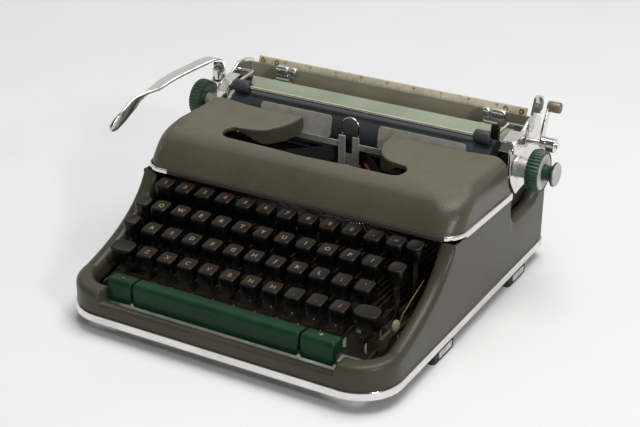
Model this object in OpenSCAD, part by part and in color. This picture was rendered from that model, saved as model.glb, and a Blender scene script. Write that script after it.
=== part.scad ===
/* [Keyboard] */
// Distance between neighbouring keys in a row
key_pitch = 19.1; // [19:0.05:19.3]
// Distance between key rows from front to back
row_pitch = 20.4; // [20:0.1:21]
// Depth of the last key row's tops below the rim at the ribbon cover
row_sink = 2.4; // [2:0.1:3.5]
// Height of the first key row's tops
row_top = 57; // [55:0.5:58]
// Width and depth of a key top at its upper edge
key_top = 12.8; // [12:0.1:13.4]
// Height of a key top
key_h = 12.5; // [11.5:0.25:13]
// Forward tilt of the key tops in degrees
key_tilt = 9; // [5:1:11]
// Thickness of the key levers
lever_t = 1.4; // [1.2:0.1:1.5]

/* [Body shell] */
// Plan radius of the front corners
front_corner_r = 34; // [30:1:36]
// Plan radius of the rear corners
rear_corner_r = 9; // [6:1:12]
// Sheet thickness of the shell
shell_wall = 2.4; // [1.8:0.2:3]
// Height of the shell's lower edge, carried by the feet
shell_floor = 11; // [10:0.5:12]
// Width of the rounded rim beside the keys
rim_w = 13; // [11:0.5:14]
// Height of the rim where the front corners start
rim_front_h = 39.5; // [37:0.5:42]
// Height of the rim at the ribbon cover
rim_rear_h = 90; // [88:0.5:91]
// Height of the front wall before the space bar
apron_h = 28.5; // [27:0.5:30]
// Height of the scoops in the side walls for the carriage
notch_floor = 62; // [58:1:64]
// Top of the rear wall
rear_wall_h = 82; // [78:1:83]
// Height of the bright band round the foot of the shell
band_h = 7; // [5:0.5:9]

/* [Ribbon cover] */
// Depth of the cover's top from front to back
cover_d = 95.8; // [94:0.2:98]
// Sheet thickness of the cover
cover_wall = 2; // [1.6:0.2:2.4]
// Radius between the cover's top and sides
cover_side_r = 15; // [12:1:18]
// Radius of the two ears beside the type opening
ear_r = 46; // [42:1:48]
// Depth of the skirts below the ears
skirt_h = 14; // [10:1:15]
// Height of the cover's top over the platen axis
cover_over_platen = 13; // [12:0.5:15]

/* [Carriage] */
// Height of the platen axis
platen_z = 110; // [109:0.5:112]
// Radius of the platen
platen_r = 17.3; // [16.8:0.1:17.6]
// Radius of the platen knobs
knob_r = 17.2; // [16:0.1:17.2]
// Width of a platen knob
knob_w = 11; // [10:0.5:13]
// Number of ribs round a knob
knob_ribs = 36; // [24:2:48]
// Radius of the platen shaft
shaft_r = 4; // [3.5:0.1:4.4]
// Radius of the rubber rollers on the paper bail
bail_roller_r = 5.5; // [5:0.1:6]
// Radius of the two carriage rails
rail_r = 3; // [2.6:0.1:3.2]
// Running clearance of shafts in their bores
run_gap = 0.06; // [0.04:0.01:0.1]
// Room from the platen axis to the rear wall
rear_room = 74; // [72:0.5:76]

/* [Type basket] */
// Number of type bars in the fan
type_count = 44; // [36:2:44]
// Half angle of the fan of type bars
fan_half = 70; // [66:1:72]
// Radius of the arc of type bar pivots
pivot_arc_r = 40; // [39:0.5:41]
// Length of a type bar from its pivot
type_bar_len = 74; // [72:0.5:74]
// Radius of a ribbon spool
spool_r = 24; // [22:0.5:25]

/* [Hidden] */
$fn = 48;
row_counts = [10, 11, 11, 12];
row_phase = [1.25, 0.75, 0.5, 0];
margin_left = 11.5;
margin_right = 26.2;
frame_in = (11 * key_pitch + margin_left + margin_right) / 2;
frame_t = 2.2;
half_w = frame_in + 17.6;
well_half = half_w - rim_w;
first_key_x = -frame_in + margin_left;

cover_gap = 5.7;
front_room = 46;
basket_room = 103.8;
cover_room = basket_room - cover_d;
row_rise = (rim_rear_h - row_sink - row_top) / 3;
body_d = front_room + 3 * row_pitch + cover_room + cover_d + cover_gap + platen_r + rear_room;
front_y = -body_d / 2;
rear_y = body_d / 2;
row1_y = front_y + front_room;
row4_y = row1_y + 3 * row_pitch;
cover_front_y = row4_y + cover_room;
cover_rear_y = cover_front_y + cover_d;
platen_y = cover_rear_y + cover_gap + platen_r;
platen_front = platen_y - platen_r;
cover_top = platen_z + cover_over_platen;
cover_low_f = rim_rear_h + 1.2;
cover_low_slope = -0.035;
cover_half = half_w - 0.2;
cover_corner_r = 24;
cover_corner_x = cover_half - cover_corner_r;
cover_tail_y = platen_y - 9.5;
hinge_y = cover_front_y + 14.8;
hinge_z = cover_low_f + 4.8;
hinge_pin_r = 2;

base_t = 3;
base_top = shell_floor + base_t;
apron_w = 8;
block_w = 18;
block_h = rim_front_h - 3;
recess_half = well_half - 25;
band_t = 1.5;

bar_y = front_y + apron_w + 1.5;
bar_d = 15;
bar_low = apron_h;
bar_top = apron_h + 19;
lever_low = 29;
lever_top = 37;
slim_top = lever_low + 3.5;
fulcrum_y = cover_rear_y + 5;
fulcrum_z = 33;
fulcrum_r = 2;
comb_y = cover_front_y + 24;

end_in = half_w - 5;
plate_t = 2.5;
end_out = end_in + plate_t;
plate_front = platen_front + 7.8;
rail_z = 74;
rail_front_y = platen_y + 20;
rail_rear_y = platen_y + 48;
truck_low = rail_z + rail_r + 3;
truck_t = 6;
lift_pin_x = 45;
lift_pin_r = 3;
frame_low = truck_low + truck_t + 0.3;
frame_h = 8;
knob_in = end_out + 14;
bail_gap = 0.25;
bail_tilt = 73;
bail_y = platen_y - (platen_r + bail_roller_r + bail_gap) * cos(bail_tilt);
bail_z = platen_z + (platen_r + bail_roller_r + bail_gap) * sin(bail_tilt);
bail_pivot_y = platen_y + 24;
bail_pivot_z = platen_z + 24;
bail_rod_r = 1.6;
feed_r = 5;
feed_y = platen_y + (platen_r + feed_r + 0.3) * cos(60);
feed_z = platen_z - (platen_r + feed_r + 0.3) * sin(60);
margin_bar_y = platen_y + 36;
margin_bar_z = platen_z + 13;
margin_bar_h = 4;
panel_y = platen_y + 44;
lever_post_x = -(end_out + 8);
lever_post_y = platen_y + 8;
lever_post_r = 3;
release_y = platen_y + 37;
release_z = platen_z + 8;
paper_lever_y = platen_y + 28;
paper_lever_z = platen_z + 25;

fan_y = platen_y - 5;
pivot_z = 45;
bar_rise = 14;
spool_x = 88;
spool_y = cover_front_y + 46.8;
ribbon_low = platen_z - 20.5;
cup_z = ribbon_low - 11.5;
ribbon_h = 13;

function bez(p, t) = pow(1 - t, 3) * p[0] + 3 * pow(1 - t, 2) * t * p[1]
    + 3 * (1 - t) * t * t * p[2] + pow(t, 3) * p[3];
function arc(c, r, a0, a1, n) = [for (i = [0:n]) let (a = a0 + (a1 - a0) * i / n) c + r * [cos(a), sin(a)]];
function row_y(k) = row1_y + k * row_pitch;
function row_z(k) = row_top + k * row_rise;
function key_x(k, i) = first_key_x + (row_phase[k] + i) * key_pitch;
function cover_low(y) = cover_low_f + cover_low_slope * (y - cover_front_y);

// Body outline in plan, moved inwards by inset
corner_steps = 8;
function plan(inset) = concat(
    arc([half_w - rear_corner_r, rear_y - rear_corner_r], rear_corner_r - inset, 0, 90, 6),
    arc([-half_w + rear_corner_r, rear_y - rear_corner_r], rear_corner_r - inset, 90, 180, 6),
    arc([-half_w + front_corner_r, front_y + front_corner_r], front_corner_r - inset, 180, 270, corner_steps),
    arc([half_w - front_corner_r, front_y + front_corner_r], front_corner_r - inset, 270, 360, corner_steps)
);

// Cover outline in plan, with rounded front corners
function cover_plan(inset) = concat(
    arc([-cover_corner_x, cover_front_y + cover_corner_r], cover_corner_r - inset, 180, 270, 10),
    arc([cover_corner_x, cover_front_y + cover_corner_r], cover_corner_r - inset, 270, 360, 10),
    [[cover_half - inset, rear_y + 4], [-cover_half + inset, rear_y + 4]]
);

module along_x(x0, x1) {
    translate([x0, 0, 0]) rotate([90, 0, 90]) linear_extrude(x1 - x0) children();
}

module along_y(y0, y1) {
    translate([0, y1, 0]) rotate([90, 0, 0]) linear_extrude(y1 - y0) children();
}

module rod_x(y, z, r, x0, x1) {
    translate([x0, y, z]) rotate([0, 90, 0]) cylinder(r = r, h = x1 - x0);
}

module both_sides() {
    children();
    mirror([1, 0, 0]) children();
}

module round_rect(w, d, r) {
    square([w - 2 * r, d], center = true);
    square([w, d - 2 * r], center = true);
    for (x = [-1, 1], y = [-1, 1]) translate([x * (w / 2 - r), y * (d / 2 - r)]) circle(r);
}

// Closed surface through rings of points, each with the same count, capped or joined round to its start
module loft(rings, round = false) {
    n = len(rings[0]);
    m = len(rings);
    points = [for (ring = rings) each ring];
    sides = [for (i = [0:round ? m - 1 : m - 2], j = [0:n - 1]) let (k = (i + 1) % m) each [
        [i * n + j, k * n + (j + 1) % n, i * n + (j + 1) % n],
        [i * n + j, k * n + j, k * n + (j + 1) % n]
    ]];
    caps = round ? [] : [[for (j = [0:n - 1]) j], [for (j = [n - 1:-1:0]) (m - 1) * n + j]];
    polyhedron(points, concat(sides, caps), convexity = 8);
}

// Hooked section of the rim: outer wall, rolled top and inner lip
function hook(h, w, r) = let (t = shell_wall, lip = 9) concat(
    [[0, shell_floor]],
    arc([-r, h - r], r, 0, 90, 4),
    arc([-w + r, h - r], r, 90, 180, 4),
    [[-w, h - r - lip], [-w + t, h - r - lip]],
    arc([-w + r, h - r], r - t, 180, 90, 4),
    arc([-r, h - r], r - t, 90, 0, 4),
    [[-t, shell_floor]]
);
// Plain wall section with a rounded top, in as many points as the hook
function wall(h) = let (t = shell_wall, r = t / 2 - 0.1) concat(
    [[0, shell_floor]],
    arc([-r, h - r], r, 0, 90, 4),
    arc([-t + r, h - r], r, 90, 180, 4),
    [for (i = [1:12]) [-t, h - r - i]],
    [[-t, shell_floor]]
);
function stand(section, p, n) = [for (q = section) [p[0] + n[0] * q[0], p[1] + n[1] * q[0], q[1]]];
rim_curve = [
    [front_y + front_corner_r, rim_front_h],
    [front_y + front_corner_r + 30, rim_front_h + 7.5],
    [cover_front_y - 14, rim_rear_h - 29],
    [cover_front_y + 2, rim_rear_h]
];
rim_steps = 12;
rim_half = concat(
    [for (i = [0:rim_steps]) let (p = bez(rim_curve, 1 - i / rim_steps))
        stand(hook(p[1], rim_w, rim_w / 2 - 0.5), [-half_w, p[0]], [-1, 0])],
    [for (i = [1:corner_steps]) let (s = i / corner_steps, a = 180 + 90 * s)
        stand(
            hook(
                rim_front_h + (block_h - rim_front_h) * s, rim_w + (block_w - rim_w) * s,
                rim_w / 2 - 0.5 - s
            ),
            [-half_w + front_corner_r * (1 + cos(a)), front_y + front_corner_r * (1 + sin(a))],
            [cos(a), sin(a)]
        )],
    [stand(hook(block_h, block_w, rim_w / 2 - 1.5), [-recess_half - 1.2, front_y], [0, -1])],
    [stand(hook(apron_h, apron_w, 3.2), [-recess_half + 1.2, front_y], [0, -1])]
);
function reversed(rings) = [for (i = [len(rings) - 1:-1:0]) rings[i]];
function mirrored(rings) = [for (ring = reversed(rings)) [for (q = ring) [-q[0], q[1], q[2]]]];

// Side wall behind the rim, with the scoop that the carriage passes through, then the rear corner
notch_y0 = cover_tail_y + 0.5;
notch_r = 7;
wall_top = 1.6;
side_line = concat(
    [[cover_front_y + 2.5, cover_low(cover_front_y) - wall_top]],
    [[notch_y0 - 0.05, cover_low(notch_y0) - wall_top]],
    arc([notch_y0 + notch_r, notch_floor + notch_r], notch_r, 180, 270, 6),
    [for (i = [0:8]) bez([
        [platen_y + 34, notch_floor], [platen_y + 48, notch_floor],
        [platen_y + 56, notch_floor + 8], [platen_y + 64, rear_wall_h]], i / 8)]
);
wall_half = concat(
    [for (p = side_line) stand(wall(p[1]), [half_w, p[0]], [1, 0])],
    [for (i = [0:6]) let (a = 15 * i, r = rear_corner_r)
        stand(wall(rear_wall_h), [half_w - r + r * cos(a), rear_y - r + r * sin(a)], [cos(a), sin(a)])]
);
module body_shell() {
    color("#7b7763")
        loft(reversed(concat(rim_half, mirrored(rim_half), wall_half, mirrored(wall_half))), round = true);
}

module base_band() {
    color("#c8c8c6") translate([0, 0, shell_floor]) linear_extrude(band_h) difference() {
        polygon(plan(-band_t));
        polygon(plan(-0.05));
    }
}

foot_w = 20;
foot_d = 36;
foot_front_y = front_y + 108;
foot_rear_y = rear_y - 56;
base_open = frame_in - 3.9;
module base_frame() {
    bars = [front_y + 13, cover_front_y + 18, cover_front_y + 33, platen_y - 16, platen_y + 4, rear_y - 14];
    color("#3a3a36") translate([0, 0, shell_floor]) linear_extrude(base_t) difference() {
        polygon(plan(shell_wall + 0.2));
        for (i = [0, 2, 4]) translate([-base_open, bars[i]]) square([2 * base_open, bars[i + 1] - bars[i]]);
    }
}

module rubber_feet() {
    color("#1c1c1b") both_sides() for (y = [foot_front_y, foot_rear_y])
        translate([half_w - 0.3 - foot_w / 2, y, 0])
            linear_extrude(shell_floor) round_rect(foot_w, foot_d, 3);
}

clip_t = 1;
module foot_clips() {
    color("#b9b6ab") both_sides() for (y = [foot_front_y, foot_rear_y])
        translate([half_w - 0.3, y - 11, 3]) cube([clip_t, 22, 5.5]);
}

// Bright strip round the cover's lower edge, hanging over the seam at the sides
module cover_trim() {
    lift = 2.4;
    drop = 2.6;
    seat = 0.05;
    trim_t = 1.3;
    module strip(y0, low) along_x(-half_w - 3, half_w + 3) polygon([
        [y0, cover_low(y0) - low], [cover_tail_y, cover_low(cover_tail_y) - low],
        [cover_tail_y, cover_low(cover_tail_y) + lift], [y0, cover_low(y0) + lift]
    ]);
    flange_in = half_w + 0.3;
    flange_out = cover_half + seat + trim_t;
    color("#c8c8c6") union() {
        intersection() {
            strip(cover_front_y - 3, 0.2);
            translate([0, 0, rim_rear_h - 15]) linear_extrude(40) difference() {
                polygon(cover_plan(-seat - trim_t));
                polygon(cover_plan(-seat));
            }
        }
        both_sides() intersection() {
            strip(cover_front_y + cover_corner_r, drop);
            translate([flange_in, front_y, 0]) cube([flange_out - flange_in, body_d, cover_top]);
        }
    }
}

frame_peak = rail_z + rail_r + 2.2;
module side_frames() {
    profile = [
        [row1_y - 12, base_top], [row1_y - 12, 24], [row_y(2), 36], [hinge_y + 2, 62], [hinge_y + 9, 82],
        [hinge_y - 1.5, hinge_z - 3.4], [hinge_y - 4, hinge_z], [hinge_y - 3, hinge_z + 3.5],
        [hinge_y + 3, hinge_z + 3.5], [hinge_y + 17, 89], [cover_rear_y + 14, 90], [platen_y - 2, 88],
        [platen_y + 5, frame_peak], [rail_rear_y + 7, frame_peak],
        [rail_rear_y + 9, 50], [rear_y - 14, 46], [rear_y - 14, base_top]
    ];
    color("#4a4a46") both_sides() along_x(frame_in, frame_in + frame_t) difference() {
        polygon(profile);
        translate([fulcrum_y, fulcrum_z]) circle(fulcrum_r + 0.03);
        translate([hinge_y, hinge_z]) circle(hinge_pin_r + 0.03);
    }
}

lug_gap = 0.9;
lug_t = 3;
module cover_hinge_pins() {
    color("#b0b0ad") both_sides()
        rod_x(hinge_y, hinge_z, hinge_pin_r, frame_in, frame_in + frame_t + lug_gap + lug_t + 1);
}

module lever_fulcrum_rod() {
    color("#b0b0ad") rod_x(fulcrum_y, fulcrum_z, fulcrum_r, -frame_in - frame_t, frame_in + frame_t);
}

// Places of the levers beside the character keys
left_slot = [for (i = [0:3]) -frame_in + 1.4 + 2.5 * i];
space_arm_x = left_slot[2];
tab_clear_x = first_key_x + 1.375 * key_pitch;
tab_set_x = first_key_x + 10.375 * key_pitch;
shift_right_x = frame_in - 20.9;
backspace_x = frame_in - 14.9;
tabulator_x = frame_in - 10.4;
lever_places = concat(
    [for (k = [0:3], i = [0:row_counts[k] - 1]) key_x(k, i)], left_slot,
    [-space_arm_x, tab_clear_x, tab_set_x, shift_right_x, backspace_x, tabulator_x]
);

module lever_comb() {
    comb_t = 3;
    color("#6a6a64") difference() {
        translate([-frame_in, comb_y, base_top]) cube([2 * frame_in, comb_t, 30]);
        for (x = lever_places) translate([x - lever_t / 2 - 0.45, comb_y - 1, base_top + 5])
            cube([lever_t + 0.9, comb_t + 2, 40]);
    }
}

// One key lever with its stem, drilled for the fulcrum rod
module lever(x, y0, stem_y, stem_z, slope, top = lever_top) {
    along_x(x - lever_t / 2, x + lever_t / 2) difference() {
        union() {
            polygon([[y0, lever_low], [fulcrum_y, lever_low], [fulcrum_y, top], [y0, top]]);
            translate([fulcrum_y, fulcrum_z]) circle(5);
            polygon([
                [stem_y - 2.5, top - 2], [stem_y + 2.5, top - 2],
                [stem_y + 2.5, stem_z + 2.5 * tan(slope)], [stem_y - 2.5, stem_z - 2.5 * tan(slope)]
            ]);
        }
        translate([fulcrum_y, fulcrum_z]) circle(fulcrum_r + run_gap);
    }
}

// Key top with splayed sides, softened corners and a dished face
function key_ring(w, d, c, z) = [
    [w / 2 - c, -d / 2, z], [w / 2, -d / 2 + c, z], [w / 2, d / 2 - c, z], [w / 2 - c, d / 2, z],
    [-w / 2 + c, d / 2, z], [-w / 2, d / 2 - c, z], [-w / 2, -d / 2 + c, z], [-w / 2 + c, -d / 2, z]
];
module key_cap(w, d) {
    splay = 1.8;
    loft([
        key_ring(w + splay, d + splay, 2.6, -key_h), key_ring(w + 0.5, d + 0.5, 2.6, -1),
        key_ring(w, d, 2.8, 0), key_ring(w - 3, d - 3, 2.4, -0.5)
    ]);
}

module cap_at(x, y, z, w, d) {
    translate([x, y, z]) rotate([key_tilt, 0, 0]) key_cap(w, d);
}

module lever_at(lever_x, y, z) {
    stem_y = y + key_h * sin(key_tilt);
    lever(lever_x, stem_y - 5, stem_y, z - key_h * cos(key_tilt), key_tilt);
}

print_row = 0;
print_index = 4;
module keytops(k) {
    color("#151516") for (i = [0:row_counts[k] - 1]) if (k != print_row || i != print_index)
        cap_at(key_x(k, i), row_y(k), row_z(k), key_top, key_top + 0.6);
}

module key_levers(k) {
    color("#8d8c86") for (i = [0:row_counts[k] - 1]) if (k != print_row || i != print_index)
        lever_at(key_x(k, i), row_y(k), row_z(k));
}

module print_key() {
    x = key_x(print_row, print_index);
    color("#151516") cap_at(x, row_y(print_row), row_z(print_row), key_top, key_top + 0.6);
    color("#8d8c86") lever_at(x, row_y(print_row), row_z(print_row));
}

shift_w = 20;
shift_left_x = left_slot[3] + 3.5;
module shift_keytops() {
    color("#151516") {
        cap_at(shift_left_x, row1_y, row_top, shift_w, 15);
        cap_at(shift_right_x + 1.5, row1_y + 3, row_top, shift_w, 15);
    }
}

module shift_bail() {
    cross_y = fulcrum_y - 22;
    cross_z = 22;
    color("#8d8c86") union() {
        lever_at(left_slot[3], row1_y, row_top);
        lever_at(shift_right_x, row1_y + 3, row_top);
        for (x = [left_slot[3], shift_right_x]) translate([x - lever_t / 2, cross_y - 3, cross_z - 3])
            cube([lever_t, 6, lever_low - cross_z + 4]);
        rod_x(cross_y, cross_z, 2, left_slot[3], shift_right_x);
    }
}

module special_key(cap_x, lever_x, y, z, w) {
    color("#151516") cap_at(cap_x, y, z, w, key_top);
    color("#8d8c86") lever_at(lever_x, y, z);
}

module shift_lock_key() {
    special_key(left_slot[1] + 3, left_slot[1], row_y(1), row_z(1) + 3, key_top - 0.6);
}

module tabulator_key() {
    special_key(tabulator_x, tabulator_x, row4_y, row_z(3) + 0.5, key_top);
}

module backspace_key() {
    special_key(backspace_x, backspace_x, row_y(2), row_z(2), key_top);
}

module margin_release_key() {
    special_key(left_slot[0] + 2.6, left_slot[0], row_y(2), row_z(2), key_top - 0.6);
}

// Rounded section shared by the space bar and its two neighbours
function bar_section() = concat(
    [[bar_y, bar_low]],
    arc([bar_y + 4, bar_top - 4.5], 4, 180, 110, 4),
    arc([bar_y + bar_d - 3, bar_top - 4], 3, 80, 0, 4),
    [[bar_y + bar_d, bar_low + 3]]
);
module bar_key(x0, x1) {
    along_x(x0, x1) polygon(bar_section());
}

bar_left = -key_pitch * 4.06;
bar_right = key_pitch * 3.6;
module tab_clear_key() {
    color("#1f2a22") union() {
        bar_key(-recess_half + 3, bar_left - 1.5);
        lever(tab_clear_x, bar_y + 3, bar_y + 8, bar_low + 8, 0, slim_top);
    }
}

module tab_set_key() {
    color("#1f2a22") union() {
        bar_key(bar_right + 1.5, recess_half - 5);
        lever(tab_set_x, bar_y + 3, bar_y + 8, bar_low + 8, 0, slim_top);
    }
}

module space_bar() {
    rod_y = bar_y + 19;
    rod_z = 19.5;
    color("#1f2a22") union() {
        bar_key(bar_left, bar_right);
        for (x = [bar_left + 18, bar_right - 18]) along_x(x, x + 2) polygon([
            [bar_y + 4, bar_low + 2], [bar_y + 12, bar_low + 4], [rod_y + 2, rod_z + 1.5],
            [rod_y + 2, rod_z - 1.5], [rod_y - 3, rod_z - 1.5]
        ]);
        rod_x(rod_y, rod_z, 1.5, space_arm_x, -space_arm_x);
        for (x = [space_arm_x, -space_arm_x]) {
            lever(x, rod_y - 2, rod_y, slim_top - 0.5, 0, slim_top);
            translate([x - lever_t / 2, rod_y - 2, rod_z - 2]) cube([lever_t, 5, lever_low - rod_z + 3]);
        }
    }
}

segment_in = 33;
segment_out = 48;
segment_low = 39;
segment_h = 13;
type_step = 2 * fan_half / (type_count - 1);
module type_segment() {
    color("#55554f") difference() {
        union() {
            translate([0, fan_y, segment_low]) rotate([0, 0, 180])
                rotate_extrude(angle = 180) translate([segment_in, 0])
                    square([segment_out - segment_in, segment_h]);
            both_sides() translate([segment_in, fan_y - 2, base_top])
                cube([segment_out - segment_in, 10, segment_low + segment_h - base_top]);
        }
        for (i = [0:type_count - 1]) translate([0, fan_y, 0]) rotate([0, 0, -fan_half + i * type_step])
            translate([-0.9, -segment_out - 2, segment_low + 1.5])
                cube([1.8, segment_out - segment_in + 8, segment_h]);
    }
}

// One type bar at rest: round heel, shank and slug, lying outwards from its pivot
module type_bar() {
    heel_r = 2.3;
    translate([0, -pivot_arc_r, pivot_z]) rotate([-bar_rise, 0, 0]) union() {
        translate([-0.5, -type_bar_len + 3, -1.5]) cube([1, type_bar_len - 3, 3]);
        rod_x(0, 0, heel_r, -0.5, 0.5);
        translate([-1.5, -type_bar_len, -1.5]) cube([3, 6, 7.5]);
    }
}

print_bar_index = type_count / 2;
module type_bars() {
    color("#a3a29b") for (i = [0:type_count - 1]) if (i != print_bar_index)
        translate([0, fan_y, 0]) rotate([0, 0, -fan_half + i * type_step]) type_bar();
}

module print_type_bar() {
    color("#a3a29b") translate([0, fan_y, 0])
        rotate([0, 0, -fan_half + print_bar_index * type_step]) type_bar();
}

guide_y = platen_front - 5.7;
guide_t = 1.6;
guide_top = platen_z + 4;
wire_r = 0.8;
wire_x = 7.5;
wire_y = platen_front - 1.9;
ribbon_y = platen_front - 0.8;
bar_z = ribbon_low + ribbon_h + 0.5;
bar_h = 5;
module type_guide() {
    guide_low = segment_low + segment_h - 6;
    strip = [-88, -5, 5, 103];
    color("#c8c8c6") union() {
        difference() {
            translate([-9.5, guide_y, guide_low]) cube([19, guide_t, guide_top - guide_low]);
            translate([-3.5, guide_y - 1, 88]) cube([7, guide_t + 2, 40]);
        }
        for (i = [0, 2]) translate([strip[i], guide_y + guide_t - 0.01, bar_z])
            cube([strip[i + 1] - strip[i], 1.4, bar_h]);
        translate([-9.5, guide_y, guide_low]) cube([19, fan_y - guide_y, 5]);
        for (x = [-wire_x, wire_x]) difference() {
            translate([x - 2, guide_y, ribbon_low - 3.4]) cube([4, wire_y - guide_y + 1.9, 2.4]);
            translate([x, wire_y, 0]) cylinder(r = wire_r + run_gap, h = 120);
        }
        translate([0.1 - segment_in, fan_y - 2, guide_low]) cube([2 * segment_in - 0.2, 8, 5]);
    }
}

holder_tilt = 10;
holder_gap = 1.7;
module card_holders() {
    low = bar_z + bar_h + 0.1;
    reach = platen_r + holder_gap;
    c = [platen_y - reach * cos(holder_tilt), platen_z + reach * sin(holder_tilt)];
    function on(z, off) = [c[0] + (z - c[1]) * tan(holder_tilt) - off, z];
    color("#a9a99f") for (span = [[-88, -19], [25, 103]]) along_x(span[0], span[1])
        polygon([on(low, 0.9), on(low, 0), on(platen_z + 17, 0), on(platen_z + 17, 0.9)]);
}

module ribbon_vibrator() {
    leg_low = ribbon_low - 12;
    leg_top = platen_z + 12;
    color("#c8c8c6") union() {
        for (x = [-wire_x, wire_x]) translate([x, wire_y, leg_low])
            cylinder(r = wire_r, h = leg_top - leg_low);
        translate([0, wire_y, leg_top]) rotate([90, 0, 0])
            rotate_extrude(angle = 180) translate([wire_x, 0]) circle(wire_r);
        rod_x(wire_y, leg_low, wire_r, -wire_x, wire_x);
    }
}

spindle_r = 2.5;
module spool_cups() {
    color("#4a4a46") both_sides() union() {
        translate([spool_x, spool_y, cup_z]) difference() {
            cylinder(r = spool_r + 3, h = 5);
            translate([0, 0, 1.8]) cylinder(r = spool_r + 1.5, h = 5);
        }
        translate([spool_x, spool_y, cup_z]) cylinder(r = spindle_r, h = 23);
        translate([spool_x, spool_y - 8, cup_z]) cube([frame_in - spool_x, 16, 1.8]);
    }
}

module ribbon_spool(side) {
    low = cup_z + 3.2;
    flange = 1.2;
    color("#2a2a2c") translate([side * spool_x, spool_y, low]) difference() {
        union() {
            cylinder(r = spool_r, h = flange);
            cylinder(r = spool_r - 6, h = ribbon_h + 3 + flange);
            translate([0, 0, ribbon_h + 3]) cylinder(r = spool_r, h = flange);
        }
        translate([0, 0, -1]) cylinder(r = spindle_r + run_gap, h = ribbon_h + 8);
        for (a = [0, 120, 240]) rotate([0, 0, a]) translate([(spool_r + spindle_r) / 2 - 3, 0, -1])
            cylinder(r = 3.2, h = ribbon_h + 8);
    }
}

module ribbon_spool_left() {
    ribbon_spool(-1);
}

module ribbon_spool_right() {
    ribbon_spool(1);
}

module ink_ribbon() {
    t = 0.4;
    bend_x = 13;
    far_x = spool_x - spool_r - 3.5;
    far_y = spool_y + 6;
    color("#1b1b1d") translate([0, 0, ribbon_low]) linear_extrude(ribbon_h) polygon([
        [-far_x, far_y], [-bend_x, ribbon_y], [bend_x, ribbon_y], [far_x, far_y],
        [far_x, far_y + t], [bend_x, ribbon_y + t], [-bend_x, ribbon_y + t], [-far_x, far_y + t]
    ]);
}

module carriage_rails() {
    color("#b0b0ad") for (y = [rail_front_y, rail_rear_y]) rod_x(y, rail_z, rail_r, -frame_in, frame_in);
}

// Outer or inner form of the cover, grown inwards by inset
module cover_form(inset) {
    top = cover_top - inset;
    side = cover_half - inset;
    r = cover_side_r - inset;
    front = cover_front_y + inset;
    tail = inset > 0 ? rear_y : cover_tail_y;
    tail_low = inset > 0 ? rim_rear_h - 20 : cover_low(cover_tail_y);
    side_profile = concat(
        inset > 0 ? [[front, rim_rear_h - 20]] : [],
        [for (i = [0:12]) bez([
            [front, cover_low_f], [front + 6 - inset / 2, cover_low_f + 15.8],
            [front + 21, top], [front + 47, top]], i / 12)],
        [[inset > 0 ? rear_y : cover_rear_y, top], [inset > 0 ? rear_y : cover_rear_y, platen_z],
            [tail, platen_z], [tail, tail_low]]
    );
    shoulder = [for (p = arc([side - r, top - r], r, 0, 78, 8)) p];
    front_profile = concat(
        [[side, rim_rear_h - 25]], shoulder, [[0, top + 15]],
        [for (i = [8:-1:0]) [-shoulder[i][0], shoulder[i][1]]], [[-side, rim_rear_h - 25]]
    );
    intersection() {
        along_x(-side - 1, side + 1) polygon(side_profile);
        along_y(front - 1, rear_y + 2) polygon(front_profile);
        translate([0, 0, rim_rear_h - 30]) linear_extrude(top) polygon(cover_plan(inset));
    }
}

ear_x = spool_x;
slot_half = ear_x - 12;
slot_r = 9.25;
slot_y = cover_front_y + 40.5;
module type_opening() {
    translate([-slot_half, slot_y - slot_r]) square([2 * slot_half, 2 * slot_r]);
    for (x = [-slot_half, slot_half]) translate([x, slot_y]) circle(slot_r);
    difference() {
        translate([-ear_x, slot_y]) square([2 * ear_x, rear_y - slot_y]);
        for (x = [-ear_x, ear_x]) translate([x, cover_rear_y]) circle(ear_r);
    }
}

module ear_skirt() {
    translate([0, 0, cover_top - skirt_h]) linear_extrude(skirt_h - 0.5) intersection() {
        translate([ear_x, cover_rear_y]) difference() {
            circle(ear_r);
            circle(ear_r - cover_wall);
        }
        translate([ear_x - ear_r - 1, slot_y + slot_r - 1])
            square([ear_r - 4, cover_rear_y - slot_y - slot_r + 1]);
    }
}

module ribbon_cover() {
    lug_x = frame_in + frame_t + lug_gap;
    color("#7b7763") difference() {
        union() {
            difference() {
                cover_form(0);
                cover_form(cover_wall);
                translate([0, 0, platen_z]) linear_extrude(cover_over_platen + 5) type_opening();
            }
            both_sides() ear_skirt();
            both_sides() intersection() {
                cover_form(0);
                translate([lug_x, cover_front_y - 2, cover_low_f + 0.5])
                    cube([lug_t, hinge_y - cover_front_y + 7, 9]);
            }
        }
        rod_x(platen_y, platen_z, platen_r + 3.2, -half_w - 5, half_w + 5);
        both_sides() rod_x(hinge_y, hinge_z, hinge_pin_r + run_gap, lug_x - 1, lug_x + lug_t + 2);
    }
}

module carriage_truck() {
    shoe_half = 12;
    color("#6a6a64") difference() {
        union() {
            translate([-60, rail_front_y - 5, truck_low])
                cube([120, rail_rear_y - rail_front_y + 10, truck_t]);
            for (y = [rail_front_y, rail_rear_y]) translate([-shoe_half, y - 5, rail_z - rail_r - 3])
                cube([2 * shoe_half, 10, truck_low - rail_z + rail_r + 4]);
            for (x = [-lift_pin_x, lift_pin_x]) translate([x, (rail_front_y + rail_rear_y) / 2, truck_low])
                cylinder(r = lift_pin_r, h = truck_t + frame_h + 8);
        }
        for (y = [rail_front_y, rail_rear_y]) rod_x(y, rail_z, rail_r + run_gap, -70, 70);
    }
}

module carriage_frame() {
    color("#4a4a46") difference() {
        translate([-end_in, rail_front_y, frame_low])
            cube([2 * end_in, rail_rear_y - rail_front_y + 4, frame_h]);
        for (x = [-lift_pin_x, lift_pin_x]) translate([x, (rail_front_y + rail_rear_y) / 2, frame_low - 1])
            cylinder(r = lift_pin_r + run_gap, h = frame_h + 2);
    }
}

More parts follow.
